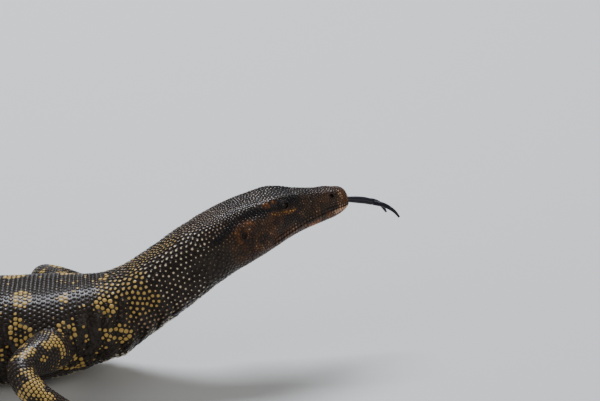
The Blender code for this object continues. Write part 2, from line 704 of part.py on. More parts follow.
def main():
    clear_scene()
    animal = make_collection("water_monitor")
    dark = make_material("skin_head", SKIN_DARK)
    cheek = make_material("skin_jaw", SKIN_CHEEK)
    back = make_material("skin_back", SKIN_BACK)
    leg = make_material("skin_leg", SKIN_LEG)
    eye = make_material("eye", EYE_BROWN)
    tongue = make_material("tongue", TONGUE_BLUE)

    make_head(dark, cheek, animal)
    make_eye("eye_left", 1, eye, animal)
    make_eye("eye_right", -1, eye, animal)
    make_tongue(tongue, animal)
    gap = GAP / PERCENT
    body_length("neck", HEAD_END + gap, NECK_END, NECK_RINGS, BODY_SIDES, dark, animal)
    torso = body_length("torso", NECK_END + gap, TORSO_END, TORSO_RINGS, BODY_SIDES, back, animal)
    start = TORSO_END
    for number, end in enumerate(TAIL_ENDS, 1):
        body_length(f"tail_{number}", start + gap, end, TAIL_RINGS, TAIL_SIDES, back, animal)
        start = end
    for name in LIMBS:
        make_limb(name, leg, torso, animal)
    centre_on_floor(animal)
    for item in animal.objects:
        item.data.shade_smooth()


main()
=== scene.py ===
import math

import bmesh
import bpy
import numpy as np
from mathutils import Matrix, Vector
from mathutils.bvhtree import BVHTree
from mathutils.kdtree import KDTree


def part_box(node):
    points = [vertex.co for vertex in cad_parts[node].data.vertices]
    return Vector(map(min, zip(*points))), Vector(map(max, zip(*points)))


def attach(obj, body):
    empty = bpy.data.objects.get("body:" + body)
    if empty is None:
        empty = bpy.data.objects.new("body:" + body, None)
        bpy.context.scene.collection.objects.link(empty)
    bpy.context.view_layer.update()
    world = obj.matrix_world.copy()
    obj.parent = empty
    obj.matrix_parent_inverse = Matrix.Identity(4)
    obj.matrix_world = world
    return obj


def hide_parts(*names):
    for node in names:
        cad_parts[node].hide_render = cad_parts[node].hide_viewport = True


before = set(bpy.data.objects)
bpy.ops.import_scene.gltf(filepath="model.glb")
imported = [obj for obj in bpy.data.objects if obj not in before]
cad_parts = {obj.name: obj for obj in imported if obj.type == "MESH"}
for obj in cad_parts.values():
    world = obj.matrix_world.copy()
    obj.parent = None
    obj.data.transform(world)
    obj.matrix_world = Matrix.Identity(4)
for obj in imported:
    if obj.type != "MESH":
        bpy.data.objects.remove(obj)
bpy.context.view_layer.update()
print("model loaded")

# Places along the animal are counted back from the snout's tip. They, and lengths without another unit,
# are in percent of the length from snout to vent.
body = {
    "snoutVent": 0.665,  # metres
    "snoutHeight": 0.1265,
    "step": 0.25,  # of the traced spine
    "floorSink": 0.25,
    "skinDepth": 0.05,  # the scales stand on a skin this far inside the outline
    "limbs": (30, 115, 0.3),  # from and to station, and how far they stand out of the outline at least
    "creaseNoise": (3.4, 6.5),  # sizes of what bends the creases and of what makes them weaker and stronger
    # to the left, in degrees
    "headings": [(0, 26), (15.5, 26), (18, 24.5), (21, 20.5), (25, 14), (30, 7.5), (35, 3), (41, 1), (56, -3),
                 (75, -8), (92, -13), (100, -16), (116, -20), (136, -15), (160, 4), (185, 24), (210, 34),
                 (230, 30), (248, 20)],
    # nose up, in degrees
    "pitches": [(0, 7), (12, 7), (14.5, 11), (17, 20), (21, 29), (25, 33), (29, 31.5), (33, 24), (37, 14),
                (41, 7.5), (47, 3), (56, 1), (66, 0.4), (92, 1.2), (100, 1.6), (116, 1.9), (248, 1.95)],
    # station, half width, rise, drop, upper power, lower power
    "outline": [
        (0.00, 0.56, 0.92, 0.18, 2.2, 2.0),
        (0.14, 0.90, 1.40, 0.46, 2.2, 2.0),
        (0.42, 1.17, 1.82, 0.84, 2.4, 2.0),
        (0.90, 1.37, 2.08, 1.14, 2.6, 2.1),
        (1.80, 1.59, 2.26, 1.44, 2.8, 2.2),
        (2.80, 1.74, 2.48, 1.60, 2.9, 2.2),
        (4.50, 2.02, 2.92, 1.62, 3.0, 2.3),
        (6.60, 2.42, 3.50, 1.66, 3.0, 2.3),
        (8.60, 2.92, 4.00, 1.82, 3.1, 2.3),
        (10.2, 3.36, 4.34, 2.06, 3.1, 2.3),
        (12.0, 3.90, 4.52, 2.44, 2.9, 2.3),
        (14.0, 4.26, 4.62, 2.90, 2.6, 2.3),
        (16.0, 4.30, 4.66, 3.24, 2.4, 2.2),
        (18.0, 4.18, 4.74, 3.46, 2.3, 2.2),
        (20.8, 4.22, 4.76, 3.62, 2.2, 2.2),
        (24.8, 4.46, 4.64, 3.86, 2.2, 2.2),
        (28.8, 4.86, 4.66, 4.12, 2.2, 2.2),
        (33.0, 5.50, 4.92, 4.60, 2.2, 2.3),
        (37.0, 6.40, 5.44, 5.30, 2.2, 2.4),
        (41.0, 7.20, 5.90, 5.90, 2.2, 2.5),
        (47.0, 7.80, 6.10, 6.30, 2.2, 2.6),
        (56.0, 8.70, 6.20, 6.60, 2.2, 2.7),
        (66.0, 9.20, 6.25, 6.60, 2.2, 2.7),
        (76.0, 8.70, 6.10, 6.40, 2.2, 2.7),
        (85.0, 7.20, 5.80, 6.20, 2.2, 2.6),
        (92.0, 6.10, 5.50, 6.00, 2.2, 2.5),
        (100.0, 5.20, 5.10, 5.60, 2.0, 2.4),
        (106.0, 4.50, 4.85, 5.30, 1.9, 2.3),
        (115.0, 3.60, 4.60, 5.10, 1.8, 2.2),
        (130.0, 2.65, 4.15, 4.70, 1.7, 2.2),
        (150.0, 1.92, 3.45, 4.00, 1.6, 2.2),
        (175.0, 1.32, 2.55, 3.20, 1.6, 2.2),
        (200.0, 0.86, 1.70, 2.30, 1.7, 2.2),
        (225.0, 0.50, 0.95, 1.50, 1.8, 2.0),
        (242.0, 0.30, 0.42, 0.80, 2.0, 2.0),
        (248.0, 0.12, 0.14, 0.40, 2.0, 2.0),
    ],
    # station, elevation in degrees, reach along, reach around in degrees, height in percent
    "swellings": {
        "nostril bulb": (2.6, 48, 0.9, 20, 0.20),
        "snout hollow": (6.0, 30, 2.2, 16, -0.26),
        "eye hollow": (9.8, 38, 1.3, 11, -0.20),
        "brow ridge": (9.6, 60, 2.3, 9, 0.40),
        "temple groove": (14.2, 48, 3.0, 9, -0.30),
        "jaw muscle": (14.0, 2, 2.6, 24, 0.34),
        "cheek corner": (11.4, -22, 1.6, 14, 0.16),
        "throat": (15.5, -90, 4.0, 40, 0.30),
        "neck muscle": (24.0, 50, 6.0, 18, 0.22),
        "neck furrow": (24.0, 16, 6.0, 12, -0.20),
        "throat fold": (34.5, -70, 1.4, 40, 0.45),
        "shoulder": (42.0, 16, 4.2, 34, 0.80),
        "hip": (92.0, 14, 4.6, 34, 0.90),
        "spine groove": (66.0, 90, 26.0, 9, -0.16),
        "flank groove": (66.0, -4, 17.0, 8, -0.40),
        "tail root": (103.0, -30, 5.0, 28, 0.40),
    },
    # from and to station, lowest and highest elevation, width of a fold, lean, depth
    "folds": {
        "neck": (26.5, 39.5, -58, 34, 2.3, 0.030, 0.34),
        "nape": (17.5, 26, -50, 60, 2.9, -0.02, 0.06),
        "armpit": (44, 53, -44, 40, 2.4, -0.035, 0.38),
        "flank": (52, 86, -48, 26, 3.3, 0.012, 0.22),
        "groin": (84, 92, -48, 28, 2.2, 0.040, 0.38),
    },
}
percent = body["snoutVent"] / 100
rng = np.random.default_rng(11)


def smoothLine(knots):  # a curve through the knots that never overshoots them
    places, values = np.array(knots, float).T
    spans = np.diff(places)
    slopes = np.diff(values) / spans
    product = slopes[:-1] * slopes[1:]
    sums = np.where(product > 0, slopes[:-1] + slopes[1:], 1)
    tangents = np.concatenate([slopes[:1], np.where(product > 0, 2 * product / sums, 0), slopes[-1:]])

    def valueAt(place):
        place = np.clip(place, places[0], places[-1])
        i = np.clip(np.searchsorted(places, place, side="right") - 1, 0, len(spans) - 1)
        t = (place - places[i]) / spans[i]
        return ((1 + 2 * t) * (1 - t) ** 2 * values[i] + t * (1 - t) ** 2 * spans[i] * tangents[i]
                + t * t * (3 - 2 * t) * values[i + 1] + t * t * (t - 1) * spans[i] * tangents[i + 1])

    return valueAt


def unit(rows):
    return rows / np.maximum(np.linalg.norm(rows, axis=-1, keepdims=True), 1e-12)


def ease(low, high, value):  # 0 below low, 1 above high, smooth between
    t = np.clip((value - low) / (high - low), 0, 1)
    return t * t * (3 - 2 * t)


def elevationOf(angle):  # 0 on both sides, 90 at the back, -90 at the belly
    return np.degrees(np.arcsin(np.sin(np.radians(angle))))


def window(value, low, high, soft):  # 1 inside, 0 outside, with soft edges
    return ease(low - soft / 2, low + soft / 2, value) * (1 - ease(high - soft / 2, high + soft / 2, value))


def noiseAt(points, size, seed=0):  # smooth random values, 0 to 1, changing over this length
    cell = np.asarray(points) / size
    base = np.floor(cell)
    part = cell - base
    part = part * part * (3 - 2 * part)
    total = 0
    for corner in np.ndindex(2, 2, 2):
        offset = base + corner
        mixed = np.sin(offset @ np.array([127.1, 311.7, 74.7]) + seed * 17.3) * 43758.5453
        weight = np.prod(np.where(corner, part, 1 - part), axis=-1)
        total = total + weight * (mixed - np.floor(mixed))
    return total


headingAt = smoothLine(body["headings"])
pitchAt = smoothLine(body["pitches"])
outlineAt = [smoothLine([(row[0], row[column]) for row in body["outline"]]) for column in range(1, 6)]


def forwardAt(station):
    heading, pitch = np.radians(headingAt(station)), np.radians(pitchAt(station))
    return np.stack([np.cos(pitch) * np.cos(heading), np.cos(pitch) * np.sin(heading), np.sin(pitch)], -1)


tailTip = body["outline"][-1][0]
spineStations = np.arange(0, tailTip + body["step"] / 2, body["step"])
spineSteps = forwardAt(spineStations[:-1] + body["step"] / 2) * body["step"] * percent
spinePlaces = np.concatenate([[[0, 0, 0]], -np.cumsum(spineSteps, axis=0)])
spinePlaces += [0, 0, body["snoutHeight"]]


def spineFrame(station):  # place, forward, left and up
    station = np.asarray(station, float)
    place = np.stack([np.interp(station, spineStations, spinePlaces[:, axis]) for axis in range(3)], -1)
    forward = forwardAt(station)
    place = place - forward * np.minimum(station, 0)[..., None] * percent
    left = unit(np.cross(np.array([0.0, 0.0, 1.0]), forward))
    return place, forward, left, np.cross(forward, left)


mouth = {
    # station, height over the spine line
    "line": [(-1.2, 0.00), (0.0, 0.00), (1.5, 0.05), (3.5, 0.14), (6.0, 0.10), (8.5, -0.14), (10.8, -0.34),
             (12.4, -0.42)],
    "corner": 12.4,
    "gap": 0.06,
    "taper": (3, 0.85),  # the gap narrows over this length before the corner, by this share
    "bladeSide": 8,  # half width of the blade that cuts it
    "roll": 0.085,  # the lips' swelling, its height off the line and its reach
    "rollOff": 0.26,
    "rollReach": 0.17,
    "clear": 0.16,  # no loose scales closer to the line than this
}
mouthAt = smoothLine(mouth["line"])


def foldsAt(station, angle, elevation):  # creases in the loose skin, all below the outline
    radians = np.radians(angle)
    places = np.stack([station, 7 * np.cos(radians), 7 * np.sin(radians)], -1)
    swirl, strength = [noiseAt(places, size, seed) for size, seed in zip(body["creaseNoise"], (2, 7))]
    total = 0
    for start, end, low, high, wave, lean, depth in body["folds"].values():
        crest = np.abs(np.sin(np.pi * (station + lean * elevation + 1.6 * swirl) / wave))
        share = window(station, start, end, 3) * window(elevation, low, high, 26)
        total = total - depth * 2 * (1 - crest) * share * (0.35 + 1.3 * strength)
    return total


def fleshPoint(station, angle, depth=0.0):  # angle 0 is the left side, 90 the back, 270 the belly
    station, angle = np.broadcast_arrays(np.asarray(station, float), np.asarray(angle, float))
    halfWidth, rise, drop, upper, lower = [line(station) for line in outlineAt]
    across, upright = np.cos(np.radians(angle)), np.sin(np.radians(angle))
    power = np.where(upright >= 0, upper, lower)
    floorDrop = spineFrame(station)[0][..., 2] / percent + body["floorSink"]
    reach = np.where(upright >= 0, rise, np.minimum(drop, floorDrop))
    size = (np.abs(across) ** power + np.abs(upright) ** power) ** (-1 / power)
    side, height = size * across * halfWidth, size * upright * reach
    elevation = np.degrees(np.arctan2(upright, np.abs(across)))
    swell = foldsAt(station, angle, elevation)
    for centre, level, along, around, amount in body["swellings"].values():
        off = ((station - centre) / along) ** 2 + ((elevation - level) / around) ** 2
        swell = swell + np.where(off < 9, amount * np.exp(-off), 0)
    offLine = height - mouthAt(station)
    lips = np.exp(-((offLine - mouth["rollOff"]) / mouth["rollReach"]) ** 2)
    lips = lips + np.exp(-((offLine + mouth["rollOff"]) / mouth["rollReach"]) ** 2)
    swell = swell + mouth["roll"] * lips * window(station, 0.1, mouth["corner"] - 0.4, 1.0)
    stretch = 1 + (swell - depth) / np.hypot(side, height)
    return side * stretch, height * stretch


def onSpine(station, side, height):
    place, _, left, up = spineFrame(station)
    return place + (left * np.asarray(side)[..., None] + up * np.asarray(height)[..., None]) * percent


def angleAtHeight(station, height, side=1):
    _, rise, drop, upper, lower = [line(station) for line in outlineAt]
    reach, power = np.where(height >= 0, rise, drop), np.where(height >= 0, upper, lower)
    level = np.minimum(np.abs(height) / reach, 1)
    angle = np.degrees(np.arctan2(level, (1 - level ** power) ** (1 / power))) * np.sign(height)
    return angle if side > 0 else 180 - angle


def headAxes(side, turnOut, turnUp, slant=0):  # along, up and outward directions of a feature of the head
    _, forward, left, up = [Vector(row) for row in spineFrame(8)]
    outward = left * side + forward * math.tan(math.radians(turnOut)) + up * math.tan(math.radians(turnUp))
    outward.normalize()
    along = (forward - outward * forward.dot(outward)).normalized()
    upward = outward.cross(along) * side
    lean = math.radians(slant)
    return (along * math.cos(lean) + upward * math.sin(lean),
            upward * math.cos(lean) - along * math.sin(lean), outward)


def unshifted(station, height, side):  # skin point before the model is centred over its origin
    angle = angleAtHeight(station, height, side)
    return Vector(onSpine(station, *fleshPoint(station, angle)))


eye = {
    "station": 9.8,
    "height": 3.42,
    "radius": 0.86,
    "sunk": 0.60,
    "lid": 0.15,
    "lidShape": (1.12, 0.98, 1.0),
    "slit": (0.58, 0.40),
    "slitDepth": 0.9,  # this and the next two in shares of the hollow's radius
    "slitOut": 1.1,
    "slitDrop": 0.08,
    "turn": (12, 14),  # outwards and upwards, in degrees
    "room": 0.05,
    "beads": (0.00100, 3, 0.00026),  # rings of scales: size of the first in metres, number, growth
    "clear": 1.0,
}


def eyeCentre(side):
    outward = headAxes(side, *eye["turn"])[2]
    return unshifted(eye["station"], eye["height"], side) - outward * eye["sunk"] * percent


eyeLow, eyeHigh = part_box("eye_right")
shift = (Vector(eyeLow) + Vector(eyeHigh)) / 2 - eyeCentre(-1)
spinePlaces += np.array(shift)
print("outline placed", [round(value, 4) for value in shift])


def bodyPoint(station, angle, depth=0.0):
    point = onSpine(station, *fleshPoint(station, angle, depth))
    point[..., 2] = np.maximum(point[..., 2], depth * percent)
    return point


def sidePoint(station, height, side):
    return Vector(bodyPoint(station, angleAtHeight(station, height, side)))


def meshFromArrays(name, points, corners, counts):
    mesh = bpy.data.meshes.new(name)
    mesh.vertices.add(len(points))
    mesh.vertices.foreach_set("co", np.ascontiguousarray(points, np.float32).ravel())
    mesh.loops.add(len(corners))
    mesh.loops.foreach_set("vertex_index", np.ascontiguousarray(corners, np.int32))
    mesh.polygons.add(len(counts))
    starts = np.concatenate([[0], np.cumsum(counts)[:-1]]).astype(np.int32)
    mesh.polygons.foreach_set("loop_start", starts)
    mesh.polygons.foreach_set("loop_total", np.ascontiguousarray(counts, np.int32))
    mesh.update(calc_edges=True)
    mesh.validate()
    return mesh


def pointsOf(mesh):
    points = np.empty(len(mesh.vertices) * 3, np.float32)
    mesh.vertices.foreach_get("co", points)
    return points.reshape(-1, 3).astype(float)


def sortFaces(mesh):  # the same order of faces and corners in every run
    rings = []
    for face in mesh.polygons:
        ring = list(face.vertices)
        first = ring.index(min(ring))
        rings.append(ring[first:] + ring[:first])
    rings.sort()
    corners = np.concatenate(rings)
    return meshFromArrays(mesh.name, pointsOf(mesh), corners, [len(ring) for ring in rings])


def treeOf(points):  # finds the nearest of the points
    tree = KDTree(len(points))
    for i, point in enumerate(points):
        tree.insert(point, i)
    tree.balance()
    return tree


def makeObject(name, mesh, material=None):
    item = bpy.data.objects.new(name, mesh)
    bpy.context.scene.collection.objects.link(item)
    if material is not None:
        mesh.materials.append(material)
    return item


def loft(name, rings):  # closed skin over rings, each as long as the one before or half of it
    shape = bmesh.new()
    rows = [[shape.verts.new(point) for point in ring] for ring in rings]
    for row, following in zip(rows, rows[1:]):
        count = len(following)
        for j in range(count):
            k = (j + 1) % count
            if len(row) == count:
                shape.faces.new((row[j], row[k], following[k], following[j]))
            else:
                shape.faces.new((row[2 * j], row[2 * j + 1], following[j]))
                shape.faces.new((row[2 * j + 1], row[(2 * j + 2) % len(row)], following[k], following[j]))
    shape.faces.new(rows[0][::-1])
    shape.faces.new(rows[-1])
    bmesh.ops.recalc_face_normals(shape, faces=shape.faces)
    mesh = bpy.data.meshes.new(name)
    shape.to_mesh(mesh)
    shape.free()
    return makeObject(name, sortFaces(mesh))


def curvedPath(points, count):  # even samples of a smooth curve through the points
    points = np.array(points, float)
    lengths = np.concatenate([[0], np.cumsum(np.linalg.norm(np.diff(points, axis=0), axis=1))])
    last = len(points) - 1
    slopes = np.array([(points[min(i + 1, last)] - points[max(i - 1, 0)])
                       / (lengths[min(i + 1, last)] - lengths[max(i - 1, 0)]) for i in range(last + 1)])
    place = np.linspace(0, lengths[-1], count + 1)
    i = np.clip(np.searchsorted(lengths, place, side="right") - 1, 0, last - 1)
    span = (lengths[i + 1] - lengths[i])[:, None]
    t = (place - lengths[i])[:, None] / span
    path = ((1 + 2 * t) * (1 - t) ** 2 * points[i] + t * (1 - t) ** 2 * span * slopes[i]
            + t * t * (3 - 2 * t) * points[i + 1] + t * t * (t - 1) * span * slopes[i + 1])
    return path, place / lengths[-1]


def tubeShape(path, radii, flats=1.0):  # a path with its side and up directions, radii and flatness
    ahead = unit(np.concatenate([path[1:2] - path[:1], path[2:] - path[:-2], path[-1:] - path[-2:-1]]))
    side = unit(np.cross(np.array([0.0, 0.0, 1.0]), ahead))
    flats = np.broadcast_to(np.asarray(flats, float), (len(path),))
    return {"path": path, "ahead": ahead, "side": side, "up": np.cross(ahead, side),
            "radii": np.asarray(radii, float), "flats": flats}


def evenTurns(sides, start=0.0):  # in radians
    return (np.arange(sides) + start) * 2 * np.pi / sides


def tubePoints(shape, turns, depth=0.0):  # points round each ring, in rows
    cosine, sine = np.cos(turns)[None, :, None], np.sin(turns)[None, :, None]
    radii = (shape["radii"] - depth)[:, None, None]
    points = (shape["path"][:, None] + shape["side"][:, None] * cosine * radii
              + shape["up"][:, None] * sine * radii * shape["flats"][:, None, None])
    points[..., 2] = np.maximum(points[..., 2], depth)
    return points


def ball(name, centre, size, axes, segments=48, rings=24):
    shape = bmesh.new()
    bmesh.ops.create_uvsphere(shape, u_segments=segments, v_segments=rings, radius=1)
    turn = Matrix([axis * length for axis, length in zip(axes, size)]).transposed().to_4x4()
    bmesh.ops.transform(shape, matrix=Matrix.Translation(centre) @ turn, verts=shape.verts)
    bmesh.ops.recalc_face_normals(shape, faces=shape.faces)
    mesh = bpy.data.meshes.new(name)
    shape.to_mesh(mesh)
    shape.free()
    return makeObject(name, sortFaces(mesh))


def combine(item, pieces, operation):  # one Boolean with all the pieces, applied
    group = bpy.data.collections.new("pieces")
    bpy.context.scene.collection.children.link(group)
    for piece in pieces:
        bpy.context.scene.collection.objects.unlink(piece)
        group.objects.link(piece)
    modifier = item.modifiers.new("combine", "BOOLEAN")
    modifier.operation = operation
    modifier.solver = "MANIFOLD"
    modifier.operand_type = "COLLECTION"
    modifier.collection = group
    applyModifiers(item)
    for piece in pieces:
        bpy.data.objects.remove(piece, do_unlink=True)
    bpy.data.collections.remove(group)
    keepLargest(item)


def applyModifiers(item):
    bpy.context.view_layer.update()
    graph = bpy.context.evaluated_depsgraph_get()
    mesh = bpy.data.meshes.new_from_object(item.evaluated_get(graph))
    item.modifiers.clear()
    item.data = mesh


def keepLargest(item):
    shape = bmesh.new()
    shape.from_mesh(item.data)
    unseen, groups = set(shape.verts), []
    while unseen:
        stack, found = [unseen.pop()], []
        while stack:
            vert = stack.pop()
            found.append(vert)
            for edge in vert.link_edges:
                other = edge.other_vert(vert)
                if other in unseen:
                    unseen.discard(other)
                    stack.append(other)
        groups.append(found)
    groups.sort(key=len)
    for scrap in groups[:-1]:
        bmesh.ops.delete(shape, geom=scrap, context="VERTS")
    shape.to_mesh(item.data)
    shape.free()
    item.data = sortFaces(item.data)


# Limbs and feet
limbs = {
    "frontRight": {"station": 41, "side": -1, "palmTurn": 14, "radii": [2.9, 2.7, 1.85, 1.75, 1.15],
                   "path": [(0.2, 3.2, 5.9), (-1.6, 8.6, 7.0), (-4.6, 13.6, 6.9), (-2.6, 17.0, 5.0),
                            (3.4, 18.4, 2.0)]},
    "frontLeft": {"station": 41, "side": 1, "palmTurn": 8, "radii": [2.9, 2.7, 1.85, 1.75, 1.15],
                  "path": [(0.4, 3.2, 5.9), (-0.6, 8.6, 7.0), (-2.6, 13.4, 6.8), (0.0, 16.4, 4.9),
                           (6.2, 17.2, 2.0)]},
    "hindRight": {"station": 92, "side": -1, "palmTurn": 44, "radii": [3.6, 3.2, 2.1, 2.0, 1.25],
                  "path": [(0.0, 2.6, 5.6), (4.4, 8.0, 6.6), (9.0, 12.6, 6.5), (6.4, 16.0, 4.8),
                           (-1.4, 17.4, 2.1)]},
    "hindLeft": {"station": 92, "side": 1, "palmTurn": 36, "radii": [3.6, 3.2, 2.1, 2.0, 1.25],
                 "path": [(0.0, 2.6, 5.6), (3.4, 8.0, 6.6), (7.0, 13.0, 6.5), (3.8, 16.2, 4.8),
                          (-4.6, 16.6, 2.1)]},
}
feet = {
    # toes: root along the palm, root across, turn in degrees, length
    "front": {"length": 3.9, "halfWidth": 1.75, "rise": 1.15, "toeRadius": 0.46, "claw": 1.45,
              "toes": [(0.55, -0.80, -40, 2.3), (0.86, -0.55, -19, 3.2), (0.95, 0.0, -1, 3.7),
                       (0.90, 0.55, 16, 3.6), (0.62, 0.85, 44, 2.7)]},
    "hind": {"length": 5.6, "halfWidth": 1.70, "rise": 1.30, "toeRadius": 0.50, "claw": 1.55,
             "toes": [(0.62, -0.80, -30, 2.6), (0.86, -0.60, -14, 4.2), (0.95, -0.1, -1, 5.6),
                      (0.92, 0.50, 12, 6.6), (0.45, 0.90, 50, 4.2)]},
    "palmShape": [(0.34, 0.88, 1.15), (0.60, 1.0, 1.0), (0.84, 0.94, 0.82), (1.0, 0.58, 0.55)],
    "toeShape": [(-0.16, 1.0, 1.05), (0.20, 1.50, 1.0), (0.56, 1.30, 0.9), (0.84, 0.92, 0.86),
                 (0.97, 0.80, 0.78), (1.03, 0.76, 0.5)],
    "clawShape": [(-0.22, 0.85, 0.55), (0.15, 1.08, 0.58), (0.48, 0.98, 0.44), (0.80, 0.62, 0.26),
                  (1.0, 0.24, 0.10)],
    "knuckles": 2.5,  # swellings along a toe
    "knuckleSwell": 0.09,
    "rings": 110,  # of a whole limb
    "wristShare": 21 / 22,
    "wristTaper": (0.945, 0.957, 0.3),  # the leg narrows between these shares, by this much
    "wristSwell": 1.03,
    "heel": {"share": 0.16, "height": 0.6, "swell": 1.1},
    "flats": (0.95, 0.80, 0.6),  # at the wrist, the heel and along the palm
    "samples": {"palm": 36, "toe": 30, "claw": 16},
}


def limbPoint(limb, ahead, out, height):
    place, forward, left, _ = spineFrame(limb["station"])
    forward = unit(forward * [1, 1, 0])
    spot = place + (forward * ahead + left * limb["side"] * out) * percent
    return np.array([spot[0], spot[1], height * percent])


def limbShapes(name):  # the tubes of one limb: leg, palm, toes and claws
    limb = limbs[name]
    foot = feet["front" if name.startswith("front") else "hind"]
    path, shares = curvedPath([limbPoint(limb, *point) for point in limb["path"]], feet["rings"])
    radiusAt = smoothLine(list(zip(np.linspace(0, 1, len(limb["radii"])), limb["radii"])))
    whole = shares <= feet["wristShare"] + 1e-6
    taperFrom, taperTo, taper = feet["wristTaper"]
    radii = radiusAt(shares[whole]) * (1 - taper * ease(taperFrom, taperTo, shares[whole]))
    leg = tubeShape(path[whole], radii * percent)
    wrist = leg["path"][-1]
    forward = spineFrame(limb["station"])[1]
    turn = math.atan2(forward[1], forward[0]) + limb["side"] * math.radians(limb["palmTurn"])
    ahead = np.array([math.cos(turn), math.sin(turn), 0])
    out = np.array([-math.sin(turn), math.cos(turn), 0]) * limb["side"]
    heel = wrist * [1, 1, 0]

    def place(along, across, height):
        return heel + (ahead * along + out * across + np.array([0, 0, height])) * percent

    length, width, rise = foot["length"], foot["halfWidth"], foot["rise"]
    wristRadius = limb["radii"][-1] * feet["wristSwell"]
    heelShape, flats = feet["heel"], list(feet["flats"])
    palmFlat = flats.pop()
    points = [wrist, place(heelShape["share"] * length, 0, heelShape["height"] * wrist[2] / percent)]
    radii = [wristRadius, wristRadius * heelShape["swell"]]
    for share, wide, thick in feet["palmShape"]:
        points.append(place(share * length, 0, 0.5 * thick * rise))
        radii.append(wide * width)
        flats.append(palmFlat * thick * rise / (wide * width))
    lengths = np.cumsum([0] + [np.linalg.norm(b - a) for a, b in zip(points, points[1:])])
    knots = lengths / lengths[-1]
    path, shares = curvedPath(points, feet["samples"]["palm"])
    palm = tubeShape(path, smoothLine(list(zip(knots, radii)))(shares) * percent,
                     smoothLine(list(zip(knots, flats)))(shares))
    toes, claws = [], []
    for rootAlong, rootAcross, angle, reach in foot["toes"]:
        along, across, angle = rootAlong * length, rootAcross * width, math.radians(angle)
        for kind, start, scale, sink in (("toe", 0, reach, toes), ("claw", reach, foot["claw"], claws)):
            knots, points, thick = [], [], []
            for share, height, thickness in feet[kind + "Shape"]:
                reached = start + share * scale
                points.append(place(along + math.cos(angle) * reached, across + math.sin(angle) * reached,
                                    foot["toeRadius"] * height))
                knots.append(share)
                thick.append(thickness * foot["toeRadius"])
            path, shares = curvedPath(points, feet["samples"][kind])
            low, high = knots[0], knots[-1]
            radii = smoothLine(list(zip([(k - low) / (high - low) for k in knots], thick)))(shares)
            if kind == "toe":
                radii = radii * (1 + feet["knuckleSwell"] * np.cos(2 * np.pi * feet["knuckles"] * shares))
            sink.append(tubeShape(path, radii * percent))
    return {"leg": leg, "palm": palm, "toes": toes, "claws": claws, "wrist": (wrist, wristRadius * percent)}


limbParts = {name: limbShapes(name) for name in limbs}
print("limbs worked out")

skinStyle = {
    # rings: up to this station, this far apart, with this many sides
    "rings": [(20, 0.13, 160), (36, 0.24, 160), (98, 0.55, 80), (tailTip, 0.75, 40)],
    "legSides": 40,
    "palmSides": 44,
    "toeSides": 18,
    "wristSwell": 1.08,
    "noseCrowd": 1.25,  # over 1, the first rings stand closer together
    "crease": 32,  # degrees: edges sharper than this are softened where limbs and lids join
    "creaseReach": 0.0025,
    "creaseRounds": 6,
}
nostril = {"station": 2.55, "height": 1.85, "size": (0.33, 0.26, 0.42), "slant": 25, "turn": (25, 35),
           "beads": (0.0010, 1, 0), "clear": 0.38}
ear = {"station": 15.9, "height": 2.1, "size": (0.37, 0.54, 0.32), "slant": 20, "turn": (-8, 6),
       "beads": (0.0016, 1, 0), "clear": 0.6}


def openingAt(spot, side):  # place and directions of a nostril or ear
    return sidePoint(spot["station"], spot["height"], side), headAxes(side, *spot["turn"], spot["slant"])


def sharpPlaces(item):
    shape = bmesh.new()
    shape.from_mesh(item.data)
    found = [edge.verts[0].co.copy() for edge in shape.edges
             if len(edge.link_faces) == 2 and edge.calc_face_angle(0) > math.radians(skinStyle["crease"])]
    shape.free()
    return found


def soften(item, places, reach, rounds):  # rounds off the mesh near these places
    tree = treeOf(places)
    points = pointsOf(item.data)
    near = np.array([tree.find(point)[2] < reach for point in points])
    edges = np.empty(len(item.data.edges) * 2, np.int32)
    item.data.edges.foreach_get("vertices", edges)
    # sorted, so that every run adds them up alike
    first, second = np.unique(np.sort(edges.reshape(-1, 2)), axis=0).T
    count = np.bincount(np.concatenate([first, second]), minlength=len(points))[:, None]
    for _ in range(rounds):
        total = np.zeros_like(points)
        np.add.at(total, first, points[second])
        np.add.at(total, second, points[first])
        points[near] = (points[near] + (total / count)[near]) / 2
    item.data.vertices.foreach_set("co", points.astype(np.float32).ravel())
    item.data.update()


def mouthBlade():  # the gap between the lips, as a thin blade right through
    stations = np.linspace(mouth["line"][0][0], mouth["corner"], 60)
    heights = mouthAt(stations)
    length, share = mouth["taper"]
    half = mouth["gap"] / 2 * (1 - share * ease(mouth["corner"] - length, mouth["corner"], stations))
    outline = list(zip(stations, heights + half)) + list(zip(stations, heights - half))[::-1]
    rings = [[onSpine(station, side, height) for station, height in outline]
             for side in (-mouth["bladeSide"], mouth["bladeSide"])]
    return loft("blade", rings)


